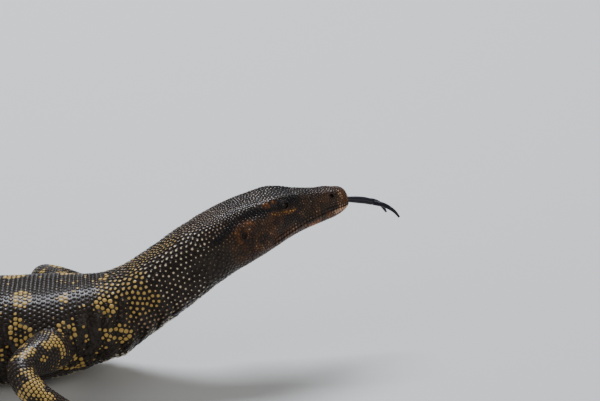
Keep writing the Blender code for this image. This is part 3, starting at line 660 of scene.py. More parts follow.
def makeSkin():
    rings, start = [], 0.0
    for end, step, sides in skinStyle["rings"]:
        count = max(1, round((end - start) / step))
        shares = np.arange(count) / count if end != tailTip else np.arange(count + 1) / count
        stations = start + (end - start) * shares
        if start == 0:
            stations = end * shares ** skinStyle["noseCrowd"]
        turns = np.arange(sides) * 360 / sides
        rings += [bodyPoint(np.full(sides, station), turns, body["skinDepth"]) for station in stations]
        start = end
    skin = loft("skin", rings)
    depth = body["skinDepth"] * percent
    pieces = []
    for parts in limbParts.values():
        tubes = [("leg", parts["leg"]), ("palm", parts["palm"])] + [("toe", toe) for toe in parts["toes"]]
        made = [loft(kind, list(tubePoints(tube, evenTurns(skinStyle[kind + "Sides"], 0.5), depth)))
                for kind, tube in tubes]
        wrist, radius = parts["wrist"]
        size = [radius * skinStyle["wristSwell"] - depth] * 3
        pieces += [*made[:2], ball("wrist", Vector(wrist), size, Matrix.Identity(3)), *made[2:]]
    for side in (1, -1):
        radius = (eye["radius"] + eye["lid"]) * percent
        size = [radius * share for share in eye["lidShape"]]
        pieces.append(ball("lid", eyeCentre(side), size, headAxes(side, *eye["turn"])))
    combine(skin, pieces, "UNION")
    soften(skin, sharpPlaces(skin), skinStyle["creaseReach"], skinStyle["creaseRounds"])
    print("skin joined:", len(skin.data.vertices), "points")
    hollows = [mouthBlade()]
    for side in (1, -1):
        axes = headAxes(side, *eye["turn"])
        centre = eyeCentre(side)
        radius = (eye["radius"] + eye["room"]) * percent
        hollows.append(ball("room", centre, [radius] * 3, axes))
        slit = [share * percent for share in eye["slit"]] + [eye["slitDepth"] * radius]
        slitPlace = centre + axes[2] * eye["slitOut"] * radius - axes[1] * eye["slitDrop"] * radius
        hollows.append(ball("slit", slitPlace, slit, axes))
        for spot in (nostril, ear):
            place, axes = openingAt(spot, side)
            hollows.append(ball("hollow", place, [share * percent for share in spot["size"]], axes))
    combine(skin, hollows, "DIFFERENCE")
    skin.data.shade_smooth()
    return skin


def placeOnBody(points):  # station and angle of points, and how far they lie beyond the body's outline
    tree = treeOf(spinePlaces)
    nearest = np.array([tree.find(point)[1] for point in points])
    station = spineStations[nearest]
    for _ in range(3):
        place, forward, _, _ = spineFrame(station)
        station = np.clip(station - np.sum((points - place) * forward, axis=1) / percent, 0, tailTip)
    place, _, left, up = spineFrame(station)
    off = (points - place) / percent
    side, height = np.sum(off * left, axis=1), np.sum(off * up, axis=1)
    # the outline's angle is measured in its own squashed circle
    halfWidth, rise, drop = [line(station) for line in outlineAt[:3]]
    floorDrop = place[:, 2] / percent + body["floorSink"]
    reach = np.where(height >= 0, rise, np.minimum(drop, floorDrop))
    angle = np.degrees(np.arctan2(height / reach, side / halfWidth)) % 360
    outline = np.hypot(*fleshPoint(station, angle))
    return station, angle, np.hypot(side, height) - outline


def isLimb(station, beyond):
    start, end, least = body["limbs"]
    return (beyond > least) & (station > start) & (station < end)


# Markings, with painted shade and painted highlights on the head: how far each tone spreads from the middle
# of a scale. Skin and scales read the same functions.
marks = {
    "rowSpacing": 6.3,  # of the back's rows of spots
    "spotSpacing": 4.6,
    "spotRadius": 1.5,
    "spotSizes": (0.55, 0.66),  # the least, and how much more the largest has, in radii
    "rowsFrom": 33.5,
    "rowsTo": 101,
    "tailBand": 9.5,
    "bellyBar": 6.2,
    "noise": {"cloud": (0.013, 6), "speckle": (0.0042, 13), "bend": (0.05, 15), "ragged": (0.009, 5),
              "stray": (0.0036, 41), "belly": (0.03, 4), "flecks": (0.0085, 21)},  # size and seed
    # strengths of the tones
    "neckHigh": 0.33,
    "neckLow": 0.29,
    "neckGold": 0.60,
    "napeGold": 0.46,
    "spotGold": 0.95,
    "strayGold": 0.62,
    "bellyPale": 0.92,
}


headLook = {
    # sizes of the noise in metres, and seeds
    "cloud": (0.0065, 3),
    "speckle": (0.0028, 13),
    "blotch": (0.0052, 23),
    "lipGrain": (0.0035, 31),
    "snoutGrain": (0.0024, 37),
    "chinGrain": (0.009, 8),
    # places in percent: station, height over the spine line, reach along and up
    "earArc": (15.5, 2.0, 1.2, 1.35),
    "arcWidth": 0.26,
    "lipSpot": (5.7, -0.95, 1.0, 0.55),
    "streak": (10.8, 12.6, 4.10, 0.24),  # from and to station, height, width
    "underEye": [(8.2, 2.30), (9.4, 2.42), (12.0, 3.10)],  # the golden line
    "underEyeWidth": 0.24,
    "stripe": [(10.8, 3.42), (12, 3.62), (14.5, 3.85), (16.5, 3.5), (19, 2.9)],  # the dark temporal stripe behind the eye, a real marking deepened with painted shade under the crown's edge
    "stripeWidth": [(11, 0.26), (13.5, 0.44)],
    "stripeEnds": (10.6, 19.5),
    "paintedEyeShade": (3.5, 0.85),  # height and width of the painted shade round the eye
    "lipFront": (2.4, 3.4),  # where the cream of the lower lip ends
    "barStep": 2.7,  # radians of a bar's wave to a station
    # how strong each is
    "arcTone": 1.05,
    "streakTone": 0.72,
    "goldTone": 0.52,
    "lipSpotTone": 1.2,
    "tipTone": 0.72,
}


def lineAt(station, rows):
    return np.interp(station, *zip(*rows))


def spotAt(station, height, spot):  # how far off a spot's middle, in shares of its reach
    middle, level, along, up = headLook[spot]
    return (station - middle) / along, (height - level) / up


def headMarksAndPaintedLight(points, station, elevation, height):
    cloud = ease(0.25, 0.75, noiseAt(points, *headLook["cloud"]))
    speckle = ease(0.35, 0.8, noiseAt(points, *headLook["speckle"]))
    snout = 1 - ease(3.5, 8, station)
    rust = window(elevation, -60, 44 + 46 * snout, 26) * (0.04 + 0.11 * cloud)
    rust = rust + 0.16 * (1 - ease(0.6, 3.4, station)) * (0.2 + cloud)
    cheek = window(station, 11.5, 17.5, 1.6) * window(height, -3.6, 3.0, 1.2)
    rust = rust + cheek * 0.16 * speckle
    # a bright arc over the ear, and streaks behind and under the eye
    arc = np.exp(-((np.hypot(*spotAt(station, height, "earArc")) - 1) / headLook["arcWidth"]) ** 2)
    arc = arc * ease(0.5, 2.2, height) * (0.42 + 0.58 * ease(14.9, 16.4, station))
    rust = np.maximum(rust, headLook["arcTone"] * arc * (0.5 + 0.5 * cloud))
    start, end, level, width = headLook["streak"]
    streak = window(station, start, end, 0.7) * np.exp(-((height - level) / width) ** 2)
    streak = streak * ease(70, 58, elevation)
    rust = np.maximum(rust, headLook["streakTone"] * streak * ease(0.15, 0.5, speckle + 0.15))
    along, up = spotAt(station, height, "lipSpot")
    lipSpot = np.exp(-along ** 2 - up ** 2)
    underEye = (height - lineAt(station, headLook["underEye"])) / headLook["underEyeWidth"]
    gold = window(station, 8.2, 11.9, 0.9) * np.exp(-underEye ** 2) * headLook["goldTone"]
    rust = np.maximum(rust, gold * 1.2)
    # the dark stripe behind the eye: a real marking, and painted shade along the groove under the crown's
    # edge
    offStripe = (height - lineAt(station, headLook["stripe"])) / lineAt(station, headLook["stripeWidth"])
    dark = np.exp(-offStripe ** 4) * window(station, *headLook["stripeEnds"], 1.6)
    # painted shade round the eye, over its lids and brow
    level, width = headLook["paintedEyeShade"]
    paintedEyeShade = window(station, 7.6, 11.4, 1.2) * np.exp(-((height - level) / width) ** 4)
    # painted shade over the top of the snout, where the overhead light would shine; through the dark mask it
    # is rougher too
    crown = ease(38, 56, elevation) * (1 - ease(5, 9, station)) * ease(1.0, 2.4, station)
    blotch = ease(0.50, 0.66, noiseAt(points, *headLook["blotch"])) * ease(64, 44, elevation)
    for tone, share in ((paintedEyeShade, 0.85), (crown, 0.5), (blotch * window(station, 1.6, 17, 2), 0.62)):
        dark = np.maximum(dark, share * tone)
    dark = dark * (1 - 0.9 * lipSpot)
    # lips: cream in front and broken behind, with faint bars over the upper one
    offLine = height - mouthAt(station)
    lip = window(offLine, -0.72, 0.02, 0.25) * (1 - ease(*headLook["lipFront"], station))
    lip = lip * (0.62 + 0.30 * ease(0.3, 0.6, noiseAt(points, *headLook["lipGrain"])))
    rust = np.maximum(rust, 0.5 * window(offLine, -1.6, 0.02, 0.4) * (1 - ease(3.0, 4.6, station)))
    rust = np.maximum(rust, headLook["lipSpotTone"] * lipSpot)
    bars = ease(0.55, 0.8, 0.5 + 0.5 * np.sin(station * headLook["barStep"] + 0.4))
    bars = bars * window(offLine, 0.0, 1.7, 0.7)
    tan = np.maximum(0.20 * bars * window(station, 0.8, 11, 2), 0.42 * cheek * speckle)
    # painted highlights: light speckles over the top of the head stand in for glints on the crown's scales
    tan = np.maximum(tan, (0.16 + 0.22 * speckle) * ease(36, 60, elevation))
    snoutSide = window(station, 2.2, 9.5, 1.6) * window(elevation, -10, 58, 24)
    tan = np.maximum(tan, 0.42 * snoutSide * ease(0.55, 0.8, noiseAt(points, *headLook["snoutGrain"])))
    tip = window(station, 0.2, 2.0, 0.9) * window(elevation, 4, 72, 20)
    tan = np.maximum(tan, headLook["tipTone"] * tip * ease(0.25, 0.6, speckle + 0.1))
    chin = ease(-40, -62, elevation) * window(station, 0.5, 18, 1.5)
    pale = chin * (0.40 + 0.5 * ease(0.4, 0.6, noiseAt(points, *headLook["chinGrain"])))
    return pale, gold, tan, rust, dark, lip


def bodyMarks(points, station, elevation, onLimb):
    cloud, speckle, bend, ragged, strayNoise, bellyNoise, fleckNoise = [
        noiseAt(points, *noise) for noise in marks["noise"].values()]
    edge = 5 * (cloud - 0.5)
    high = window(elevation + 6 * edge, 30, 74, 12)
    low = window(elevation + 6 * edge, -36, 30, 12) * ease(20.5, 23, station)
    pale = marks["neckHigh"] * high + marks["neckLow"] * low + 0.22 * (speckle - 0.5)
    pale = pale * window(station + edge, 19.0, 28.0, 2.0)
    tan = window(station, 15.8, 32, 2.5) * ease(-62, -30, elevation) * (0.27 + 0.26 * speckle)
    tan = tan * (1 - 0.55 * window(station, 15, 24, 3) * window(elevation, -70, 30, 26))
    gold = marks["neckGold"] * window(station + edge, 27.0, 33.5, 2.4)
    gold = gold * window(elevation + 5 * edge, 0, 80, 24)
    nape = window(station + edge, 21.5, 30, 2.4) * ease(66, 78, elevation)
    gold = np.maximum(gold, marks["napeGold"] * nape)
    # rows of round spots over back and flanks, the larger ones dark in the middle
    halfWidth, rise = outlineAt[0](station), outlineAt[1](station)
    arc = (90 - elevation) / 90 * (halfWidth + rise) * 0.78
    along = station + 2.6 * (bend - 0.5) - marks["rowsFrom"]
    row = np.round(along / marks["rowSpacing"])
    offRow = along - row * marks["rowSpacing"]
    offset = (row % 2) * 0.5 + 0.35 * np.sin(row * 2.4)
    spot = np.round(arc / marks["spotSpacing"] - offset)
    offSpot = arc - (spot + offset) * marks["spotSpacing"]
    least, more = marks["spotSizes"]
    size = marks["spotRadius"] * (least + more * np.abs(np.sin(row * 12.7 + spot * 5.3)))
    ring = np.hypot(offRow, offSpot) / size + 0.7 * (ragged - 0.5)
    spots = 1 - ease(0.72, 1.12, ring)
    hollow = (1 - ease(0.22, 0.5, ring)) * ease(1.35, 1.6, size)
    spots = spots * (1 - 0.85 * hollow) * window(station, marks["rowsFrom"] - 2, marks["rowsTo"], 3)
    gold = np.maximum(gold, spots * window(elevation, -45, 95, 14) * marks["spotGold"])
    stray = ease(0.74, 0.82, strayNoise) * window(station, 30, 150, 6)
    gold = np.maximum(gold, marks["strayGold"] * stray)
    inTail = ease(99, 104, station)
    wave = ((station - 100) / marks["tailBand"] + 0.12 * np.sin(station * 0.35) + 0.16 * (cloud - 0.5)) % 1
    band = window(wave, 0.34, 0.60, 0.14)
    gold = np.maximum(gold, inTail * band * (0.50 + 0.55 * speckle))
    # belly: cream, with dark bars that run in from the sides
    belly = ease(-34, -58, elevation) * window(station, 17, 150, 6)
    barWave = ((station + 3.0 * bellyNoise) / marks["bellyBar"]) % 1
    bars = window(barWave, 0.25, 0.62, 0.14) * (1 - ease(-62, -82, elevation) * 0.75)
    pale = np.maximum(pale, belly * (1 - 0.85 * bars) * marks["bellyPale"])
    flecks = np.maximum(0.92 * ease(0.62, 0.72, fleckNoise), 0.5 * ease(0.66, 0.76, speckle))
    gold = np.where(onLimb, flecks, gold)
    return np.where(onLimb, 0, pale), gold, np.where(onLimb, 0.2, tan)


def marksAndPaintedLight(points, station, angle, beyond):
    elevation = elevationOf(angle)
    height = fleshPoint(station, angle)[1]
    onLimb = isLimb(station, beyond)
    pale, gold, tan = bodyMarks(points, station, elevation, onLimb)
    headPale, headGold, headTan, rust, dark, lip = headMarksAndPaintedLight(points, station, elevation, height)
    body = ease(16, 18, station)
    pale, gold, tan = [one * (1 - body) + other * body
                       for one, other in ((headPale, pale), (headGold, gold), (headTan, tan))]
    rust = rust * (1 - ease(16, 19.5, station))
    return {"pale": pale * (1 - 0.8 * dark), "gold": gold, "tan": tan * (1 - 0.8 * dark), "rust": rust,
            "dark": dark, "lip": lip}


def storeMasks(mesh, masks):
    for name, values in masks.items():
        layer = mesh.attributes.new(name, "FLOAT", "POINT")
        layer.data.foreach_set("value", np.ascontiguousarray(values, np.float32))


skin = makeSkin()
skinPoints = pointsOf(skin.data)
skinStation, skinAngle, skinBeyond = placeOnBody(skinPoints)
skinMasks = marksAndPaintedLight(skinPoints, skinStation, skinAngle, skinBeyond)
paintedHollowShade = ease(-0.10, -0.22, skinBeyond) * (skinStation < 20)  # painted shade inside the mouth, nostrils, ears and eye sockets
skinMasks["dark"] = np.maximum(skinMasks["dark"], paintedHollowShade)
skinMasks["bare"] = 1 - paintedHollowShade
underside = ease(-45, -60, elevationOf(skinAngle))
for key in ("pale", "gold", "tan", "lip"):  # between the scales the skin stays dark
    skinMasks[key] = skinMasks[key] * (0.15 + 0.55 * underside)
skinMasks["centre"] = np.full(len(skinPoints), 0.3)
skinMasks["tint"] = np.full(len(skinPoints), 0.5)
storeMasks(skin.data, skinMasks)
print("skin cut:", len(skin.data.vertices), "points")

skinTree = BVHTree.FromPolygons([vert.co for vert in skin.data.vertices],
                                [tuple(face.vertices) for face in skin.data.polygons])

eyeFronts = [(eye, np.array(eyeCentre(side) + headAxes(side, *eye["turn"])[2] * eye["radius"] * percent))
             for side in (1, -1)]
openingPlaces = [(spot, np.array(openingAt(spot, side)[0])) for spot in (nostril, ear) for side in (1, -1)]

coat = {
    # spacing of scales in millimetres: on the side of head and neck, in rows along and round the rest
    "side": [(0, 1.7), (2, 2.0), (8, 2.3), (12, 2.4), (16, 2.6), (18, 2.9), (19.5, 3.6), (21.5, 4.5),
             (36, 4.7)],
    # the crown's and nape's scales to those of the side
    "crown": [(0, 1.0), (3, 1.15), (12, 1.25), (15, 1.0), (18, 0.72), (26, 0.70), (34, 0.95)],
    "crownFrom": ((35, 66), (27, 16)),  # elevations where they begin, and how much higher on the neck
    "along": [(34, 4.5), (98, 4.6), (130, 4.6), (200, 3.6), (248, 2.2)],
    "across": [(34, 4.5), (56, 4.4), (98, 4.1), (130, 3.4), (200, 2.4), (248, 1.4)],
    "height": [(0, 0.30), (12, 0.40), (18, 0.52), (24, 0.72), (60, 0.62), (98, 0.60), (248, 0.32)],
    "rowsFrom": 34.0,  # the head and neck before it have scattered scales
    "rowStep": 0.90,
    "rowCrowd": 0.72,  # scales of the rows may stand this much closer than scattered ones
    "rowCount": 6,  # scales in a row come in multiples of this
    "crest": (0.9, 82, 6),  # the tail's upper edge: how much higher, elevation, width
    "keel": 0.35,  # how much higher the ridge of the tail's scales is
    "belly": 0.4,  # how much flatter the belly's scales are
    "leg": 3.4,
    "toe": 2.1,
    "toeUp": (0.010, 0.034),  # metres over the floor, from toe scales to leg scales
    "legHeight": 0.46,
    "legRows": (0.0008, 0.88),  # first row, in metres, and the rows' distance in spacings
    "labials": ((0.25, 0.42), (0.66, 0.38), (-0.25, 0.42), (-0.66, 0.38)),  # off the mouth line, size
    "labialStep": 1.08,
    "labialGrowth": (0.72, 0.34),  # at the snout's tip, and what is added behind it
    "beadTurn": 0.16,  # how unevenly the scales of a ring round an opening stand
    "probe": 0.012,  # metres over the skin from which their places are sought
    "headDensity": 2.4,  # candidate places to a square millimetre
    "restDensity": 2.0,
    "apart": 0.80,  # closest that scattered scales start, in spacings
    "hole": 0.62,  # places closer to a planned scale than this, in spacings, aren't tried
    "cell": 0.0052,  # metres, wider than the widest spacing
    "shifts": (0.0022, 0.0018, 0.0012),  # metres that rows, leg rings and loose scales may lie off the skin
    "relax": 12,  # rounds in which they push each other apart
    "renew": 3,  # rounds after which their neighbours are sought again
    "pushNear": 8,  # neighbours that push
    "pushReach": 1.08,
    "push": 0.32,
    "reachNear": 10,  # neighbours that bound a scale
    "widest": 0.70,  # half a scale, in spacings
    "tilt": 0.07,  # how unevenly the scales of head and neck lean
    "uneven": {"reach": (0.95, 1.0), "height": (0.88, 1.12)},
    "ends": (17, 40, 99),  # where the pieces of head, neck and back end
    "middle": 66,  # between the front and the hind legs
    "heaviest": 195000,  # triangles of one piece
    "patch": 0.003,  # of each scale on its map
    "mapEdge": 0.01,
}
sideAt, crownAt, alongAt, acrossAt, heightAt = [smoothLine(coat[key])
                                                for key in ("side", "crown", "along", "across", "height")]
partNames = ["head", "neck", "back", "tail", *limbs]


def spacingAt(station, elevation, height, onLimb):  # in metres
    onNeck = ease(15, 20, station)
    low, high = [start + more * onNeck for start, more in zip(*coat["crownFrom"])]
    scattered = sideAt(station) * (1 + (crownAt(station) - 1) * ease(low, high, elevation))
    rows = np.sqrt(alongAt(station) * acrossAt(station))
    onBody = np.where(station < coat["rowsFrom"], scattered, rows)
    legs = coat["toe"] + (coat["leg"] - coat["toe"]) * ease(*coat["toeUp"], height)
    return np.where(onLimb, legs, onBody) / 1000


def rowSeeds():  # staggered rows of scales round trunk and tail
    found, station, row = [], coat["rowsFrom"], 0
    while station < tailTip - 0.6:
        turns = np.arange(0, 361, 4.0)
        ring = bodyPoint(np.full(len(turns), station), turns)
        lengths = np.concatenate([[0], np.cumsum(np.linalg.norm(np.diff(ring, axis=0), axis=1))])
        step = coat["rowCount"] if lengths[-1] > 0.04 else 2
        count = max(4, step * round(lengths[-1] * 1000 / acrossAt(station) / step))
        places = (np.arange(count) + 0.5 * (row % 2)) / count * lengths[-1]
        angles = np.interp(places, lengths, turns) + rng.uniform(-0.5, 0.5, count)
        stations = station + rng.uniform(-0.02, 0.02, count)
        found.append(np.stack([stations, angles], -1))
        station += float(alongAt(station)) / 1000 * coat["rowStep"] / percent
        row += 1
    station, angle = np.concatenate(found).T
    return bodyPoint(station, angle, body["skinDepth"])


def labialSeeds():  # two rows of scales along each lip
    points, sizes = [], []
    least, more = coat["labialGrowth"]
    for side in (1, -1):
        for offset, size in coat["labials"]:
            station = 0.3
            while station < mouth["corner"] - 0.1:
                grown = size * (least + more * float(ease(0, 4, station)))
                place = mouthAt(station) + offset * grown / size
                points.append(sidePoint(station, place, side))
                sizes.append(grown * percent)
                station += grown * coat["labialStep"]
    return np.array(points), np.array(sizes)


def ringSeeds(centre, axes, wide, high, size, rings, growth):  # beads in rings round an opening
    points, sizes, probe = [], [], coat["probe"]
    for ring in range(rings):
        bead = size + growth * ring
        offset = (0.55 * size + ring * (size + growth * ring / 2)) * 0.92
        across, upright = wide + offset, high + offset
        count = round(2 * math.pi * math.sqrt((across ** 2 + upright ** 2) / 2) / bead)
        for j in range(count):
            uneven = rng.uniform(-coat["beadTurn"], coat["beadTurn"])
            turn = 2 * math.pi * (j + 0.5 * (ring % 2) + uneven) / count
            start = centre + axes[0] * across * math.cos(turn) + axes[1] * upright * math.sin(turn)
            hit = skinTree.ray_cast(start + axes[2] * probe, -axes[2], 2 * probe)[0]
            if hit is not None:
                points.append(hit)
                sizes.append(bead)
    return np.array(points), np.array(sizes)


def openingSeeds():
    batches = []
    for side in (1, -1):
        openings = [(eye, "slit", (eyeCentre(side), headAxes(side, *eye["turn"])))]
        openings += [(spot, "size", openingAt(spot, side)) for spot in (nostril, ear)]
        for spot, key, (centre, axes) in openings:
            wide, high = spot[key][0] * percent, spot[key][1] * percent
            batches.append(ringSeeds(centre, axes, wide, high, *spot["beads"]))
    return [np.concatenate(column) for column in zip(*batches)]


def tubeSeeds(shape):  # staggered rings of scales round a leg, palm or toe
    lengths = np.concatenate([[0], np.cumsum(np.linalg.norm(np.diff(shape["path"], axis=0), axis=1))])
    place, step = coat["legRows"]
    found, row = [], 0
    samples = np.arange(len(lengths))
    while place < lengths[-1]:
        share = np.interp(place, lengths, samples)
        ring = {key: np.array([[np.interp(share, samples, column) for column in value.T]])
                for key, value in shape.items() if value.ndim == 2}
        ring["radii"] = np.array([np.interp(share, samples, shape["radii"])])
        ring["flats"] = np.array([np.interp(share, samples, shape["flats"])])
        size = float(spacingAt(60.0, 0.0, ring["path"][0, 2], True))
        count = max(6, round(math.pi * ring["radii"][0] * (1 + ring["flats"][0]) / size))
        found.append(tubePoints(ring, evenTurns(count, 0.5 * (row % 2)))[0])
        place += size * step
        row += 1
    return np.concatenate(found)


def candidateSeeds():  # random places on the skin, to scatter scales on and to fill holes
    mesh = skin.data
    mesh.calc_loop_triangles()
    corners = np.empty(len(mesh.loop_triangles) * 3, np.int32)
    mesh.loop_triangles.foreach_get("vertices", corners)
    corners = corners.reshape(-1, 3)
    a, b, c = [skinPoints[corners[:, i]] for i in range(3)]
    area = np.linalg.norm(np.cross(b - a, c - a), axis=1) / 2 * 1e6
    station, beyond = skinStation[corners].mean(axis=1), skinBeyond[corners].mean(axis=1)
    scattered = station < coat["rowsFrom"]
    expected = area * np.where(scattered, coat["headDensity"] * ease(40, 14, station), 0)
    expected = np.maximum(expected, area * coat["restDensity"])
    expected[(beyond < -0.14) & (station < 20)] = 0  # inside the mouth and the openings
    number = rng.poisson(expected)
    chosen = np.repeat(np.arange(len(corners)), number)
    rng.shuffle(chosen)
    shares = rng.dirichlet((1, 1, 1), len(chosen))
    onLimb = isLimb(station, beyond)
    sizes = spacingAt(station, elevationOf(skinAngle[corners[:, 0]]), a[:, 2], onLimb)
    return sum(shares[:, i:i + 1] * skinPoints[corners[chosen, i]] for i in range(3)), sizes[chosen]


def clearOfFeatures(points, station, angle):
    height = fleshPoint(station, angle)[1]
    keep = (np.abs(height - mouthAt(station)) > mouth["clear"]) | (station > mouth["corner"] - 0.2)
    for spot, place in eyeFronts + openingPlaces:
        keep &= np.linalg.norm(points - place, axis=1) > spot["clear"] * percent
    return keep


def scatter(points, sizes, placed, placedSizes):  # keeps the points that stand clear of all before them
    cell, share = coat["cell"], coat["apart"]
    grid, kept = {}, []
    around = [(di, dj, dk) for di in (-1, 0, 1) for dj in (-1, 0, 1) for dk in (-1, 0, 1)]

    def isClear(x, y, z, size, i, j, k):
        for di, dj, dk in around:
            for ox, oy, oz, other in grid.get((i + di, j + dj, k + dk), ()):
                reach = share * (size + other) / 2
                if (x - ox) ** 2 + (y - oy) ** 2 + (z - oz) ** 2 < reach * reach:
                    return False
        return True

    everything = np.concatenate([placed, points]).tolist()
    allSizes = np.concatenate([placedSizes, sizes]).tolist()
    for number, ((x, y, z), size) in enumerate(zip(everything, allSizes)):
        i, j, k = int(x // cell), int(y // cell), int(z // cell)
        if number >= len(placed):
            if not isClear(x, y, z, size, i, j, k):
                continue
            kept.append(number - len(placed))
        grid.setdefault((i, j, k), []).append((x, y, z, size))
    return np.array(kept, int)


def neighboursOf(points, count):
    tree = treeOf(points)
    return np.array([[found[1] for found in tree.find_n(place, count + 1)[1:]] for place in points])


def farFrom(placed, points, gaps):  # which points have no placed one closer than their gap
    tree = treeOf(placed)
    return np.array([tree.find(point)[2] for point in points]) > gaps


def onSkin(points):
    found = [skinTree.find_nearest(point) for point in points]
    return np.array([hit[0] for hit in found]), np.array([hit[1] for hit in found])


def relax(points, sizes, free):
    moving = np.nonzero(free)[0]
    for turn in range(coat["relax"]):
        if turn % coat["renew"] == 0:
            near = neighboursOf(points, coat["pushNear"])[moving]
        off = points[moving][:, None] - points[near]
        distance = np.linalg.norm(off, axis=2, keepdims=True)
        target = (sizes[moving][:, None] + sizes[near])[..., None] / 2
        weight = np.clip(coat["pushReach"] - distance / target, 0, 1)
        shift = np.sum(off / np.maximum(distance, 1e-6) * weight * target, axis=1) * coat["push"]
        points[moving] = onSkin(points[moving] + shift)[0]
    return points


def placeOnTubes(points, tubes):  # each point's tube, its place along and round it, and the tube's direction
    least = np.full(len(points), np.inf)
    which, along, turn = np.zeros(len(points), int), np.zeros(len(points)), np.zeros(len(points))
    ahead = np.zeros((len(points), 3))
    for number, tube in enumerate(tubes):
        off = points[:, None] - tube["path"][None]
        distance = np.linalg.norm(off, axis=2)
        nearest = distance.argmin(axis=1)
        rows = np.arange(len(points))
        beyond = distance[rows, nearest] - tube["radii"][nearest]
        off = off[rows, nearest]
        better = beyond < least
        least = np.where(better, beyond, least)
        which = np.where(better, number, which)
        along = np.where(better, nearest / len(tube["path"]), along)
        height = np.sum(off * tube["up"][nearest], axis=1)
        turned = np.arctan2(height, np.sum(off * tube["side"][nearest], axis=1)) / (2 * np.pi) % 1
        turn = np.where(better, turned, turn)
        ahead = np.where(better[:, None], tube["ahead"][nearest], ahead)
    return which, along, turn, ahead


# One scale: rings of (share of the half size, share of the height), then the top
shapes = {
    "head": {"sides": 10, "rings": [(1.0, -0.5), (1.0, 0.35), (0.82, 0.86)], "fill": 0.95, "round": 0.15},
    "neck": {"sides": 10, "rings": [(1.0, -0.5), (0.97, 0.20), (0.66, 0.80)], "fill": 0.93, "round": 0.38},
    "back": {"sides": 8, "rings": [(1.0, -0.5), (0.99, 0.26), (0.74, 0.84)], "fill": 0.94, "round": 0.25},
    "tail": {"sides": 8, "rings": [(1.0, -0.5), (1.0, 0.30), (0.76, 0.82)], "fill": 0.94, "round": 0.10},
    "limb": {"sides": 8, "rings": [(1.0, -0.5), (0.98, 0.24), (0.70, 0.80)], "fill": 0.92, "round": 0.35},
}


def scaleReach(points, sizes, near, along, across, shape):  # how far each scale goes in each direction
    turns = evenTurns(shape["sides"])
    off = points["all"][near] - points["own"][:, None]
    share = sizes["own"][:, None] / (sizes["own"][:, None] + sizes["all"][near])
    flatOff = np.stack([np.sum(off * along[:, None], axis=2), np.sum(off * across[:, None], axis=2)], -1)
    flat = np.maximum(np.linalg.norm(flatOff, axis=2), 1e-7)
    distance = np.linalg.norm(off, axis=2)
    heading = flatOff / flat[..., None]
    facing = heading[..., 0, None] * np.cos(turns) + heading[..., 1, None] * np.sin(turns)
    bound = (distance * share)[..., None] / np.maximum(facing, 0.05)
    reach = np.minimum(bound.min(axis=1), coat["widest"] * sizes["own"][:, None])
    even = reach.min(axis=1, keepdims=True)
    return (reach + (even - reach) * shape["round"]) * shape["fill"]


def coatMesh(name, shape, batch, material):
    sides, rings = shape["sides"], shape["rings"]
    count = len(batch["points"])
    turns = evenTurns(sides)
    perScale = sides * len(rings) + 1
    wide = np.repeat([ring[0] for ring in rings], sides)
    high = np.append(np.repeat([ring[1] for ring in rings], sides), 1.0)
    cosine, sine = np.tile(np.cos(turns), len(rings)), np.tile(np.sin(turns), len(rings))
    reach = np.tile(batch["reach"], (1, len(rings))) * wide
    flatAlong = np.concatenate([reach * cosine, np.zeros((count, 1))], axis=1)
    flatAcross = np.concatenate([reach * sine, np.zeros((count, 1))], axis=1)
    ridge = 1 + batch["keel"][:, None] * (high > 0.5) * (1 - np.append(np.abs(sine) * wide, 0))
    lift = high * ridge * batch["heights"][:, None]
    points = (batch["points"][:, None] + batch["along"][:, None] * flatAlong[..., None]
              + batch["across"][:, None] * flatAcross[..., None]
              + batch["normals"][:, None] * lift[..., None])
    points[..., 2] = np.maximum(points[..., 2], 0)
    faces = [list(range(sides))[::-1]]
    for ring in range(len(rings) - 1):
        for j in range(sides):
            k = (j + 1) % sides
            faces.append([ring * sides + j, ring * sides + k, (ring + 1) * sides + k, (ring + 1) * sides + j])
    top = perScale - 1
    faces += [[top - sides + j, top - sides + (j + 1) % sides, top] for j in range(sides)]
    corners = np.concatenate([np.array(face) for face in faces])
    allCorners = (corners[None] + np.arange(count)[:, None] * perScale).ravel()
    counts = np.tile([len(face) for face in faces], count)
    mesh = meshFromArrays(name, points.reshape(-1, 3), allCorners, counts)
    masks = {key: np.repeat(values, perScale) for key, values in batch["masks"].items()}
    masks["centre"] = np.tile(np.append(1 - wide, 1.0), count)
    masks["tint"] = np.repeat(rng.uniform(0, 1, count), perScale)
    storeMasks(mesh, masks)
    # each scale is a small patch at its root's place on the skin's own unwrap
    spread = np.stack([np.append(cosine * wide, 0), np.append(sine * wide, 0)], -1) * coat["patch"] / 2
    places = coat["mapEdge"] + (1 - 2 * coat["mapEdge"]) * batch["unwrap"][:, None] + spread[None]
    layer = mesh.uv_layers.new(name="OFBake")
    layer.data.foreach_set("uv", places.reshape(-1, 2)[allCorners].astype(np.float32).ravel())
    mesh.shade_smooth()
    return makeObject(name, mesh, material)


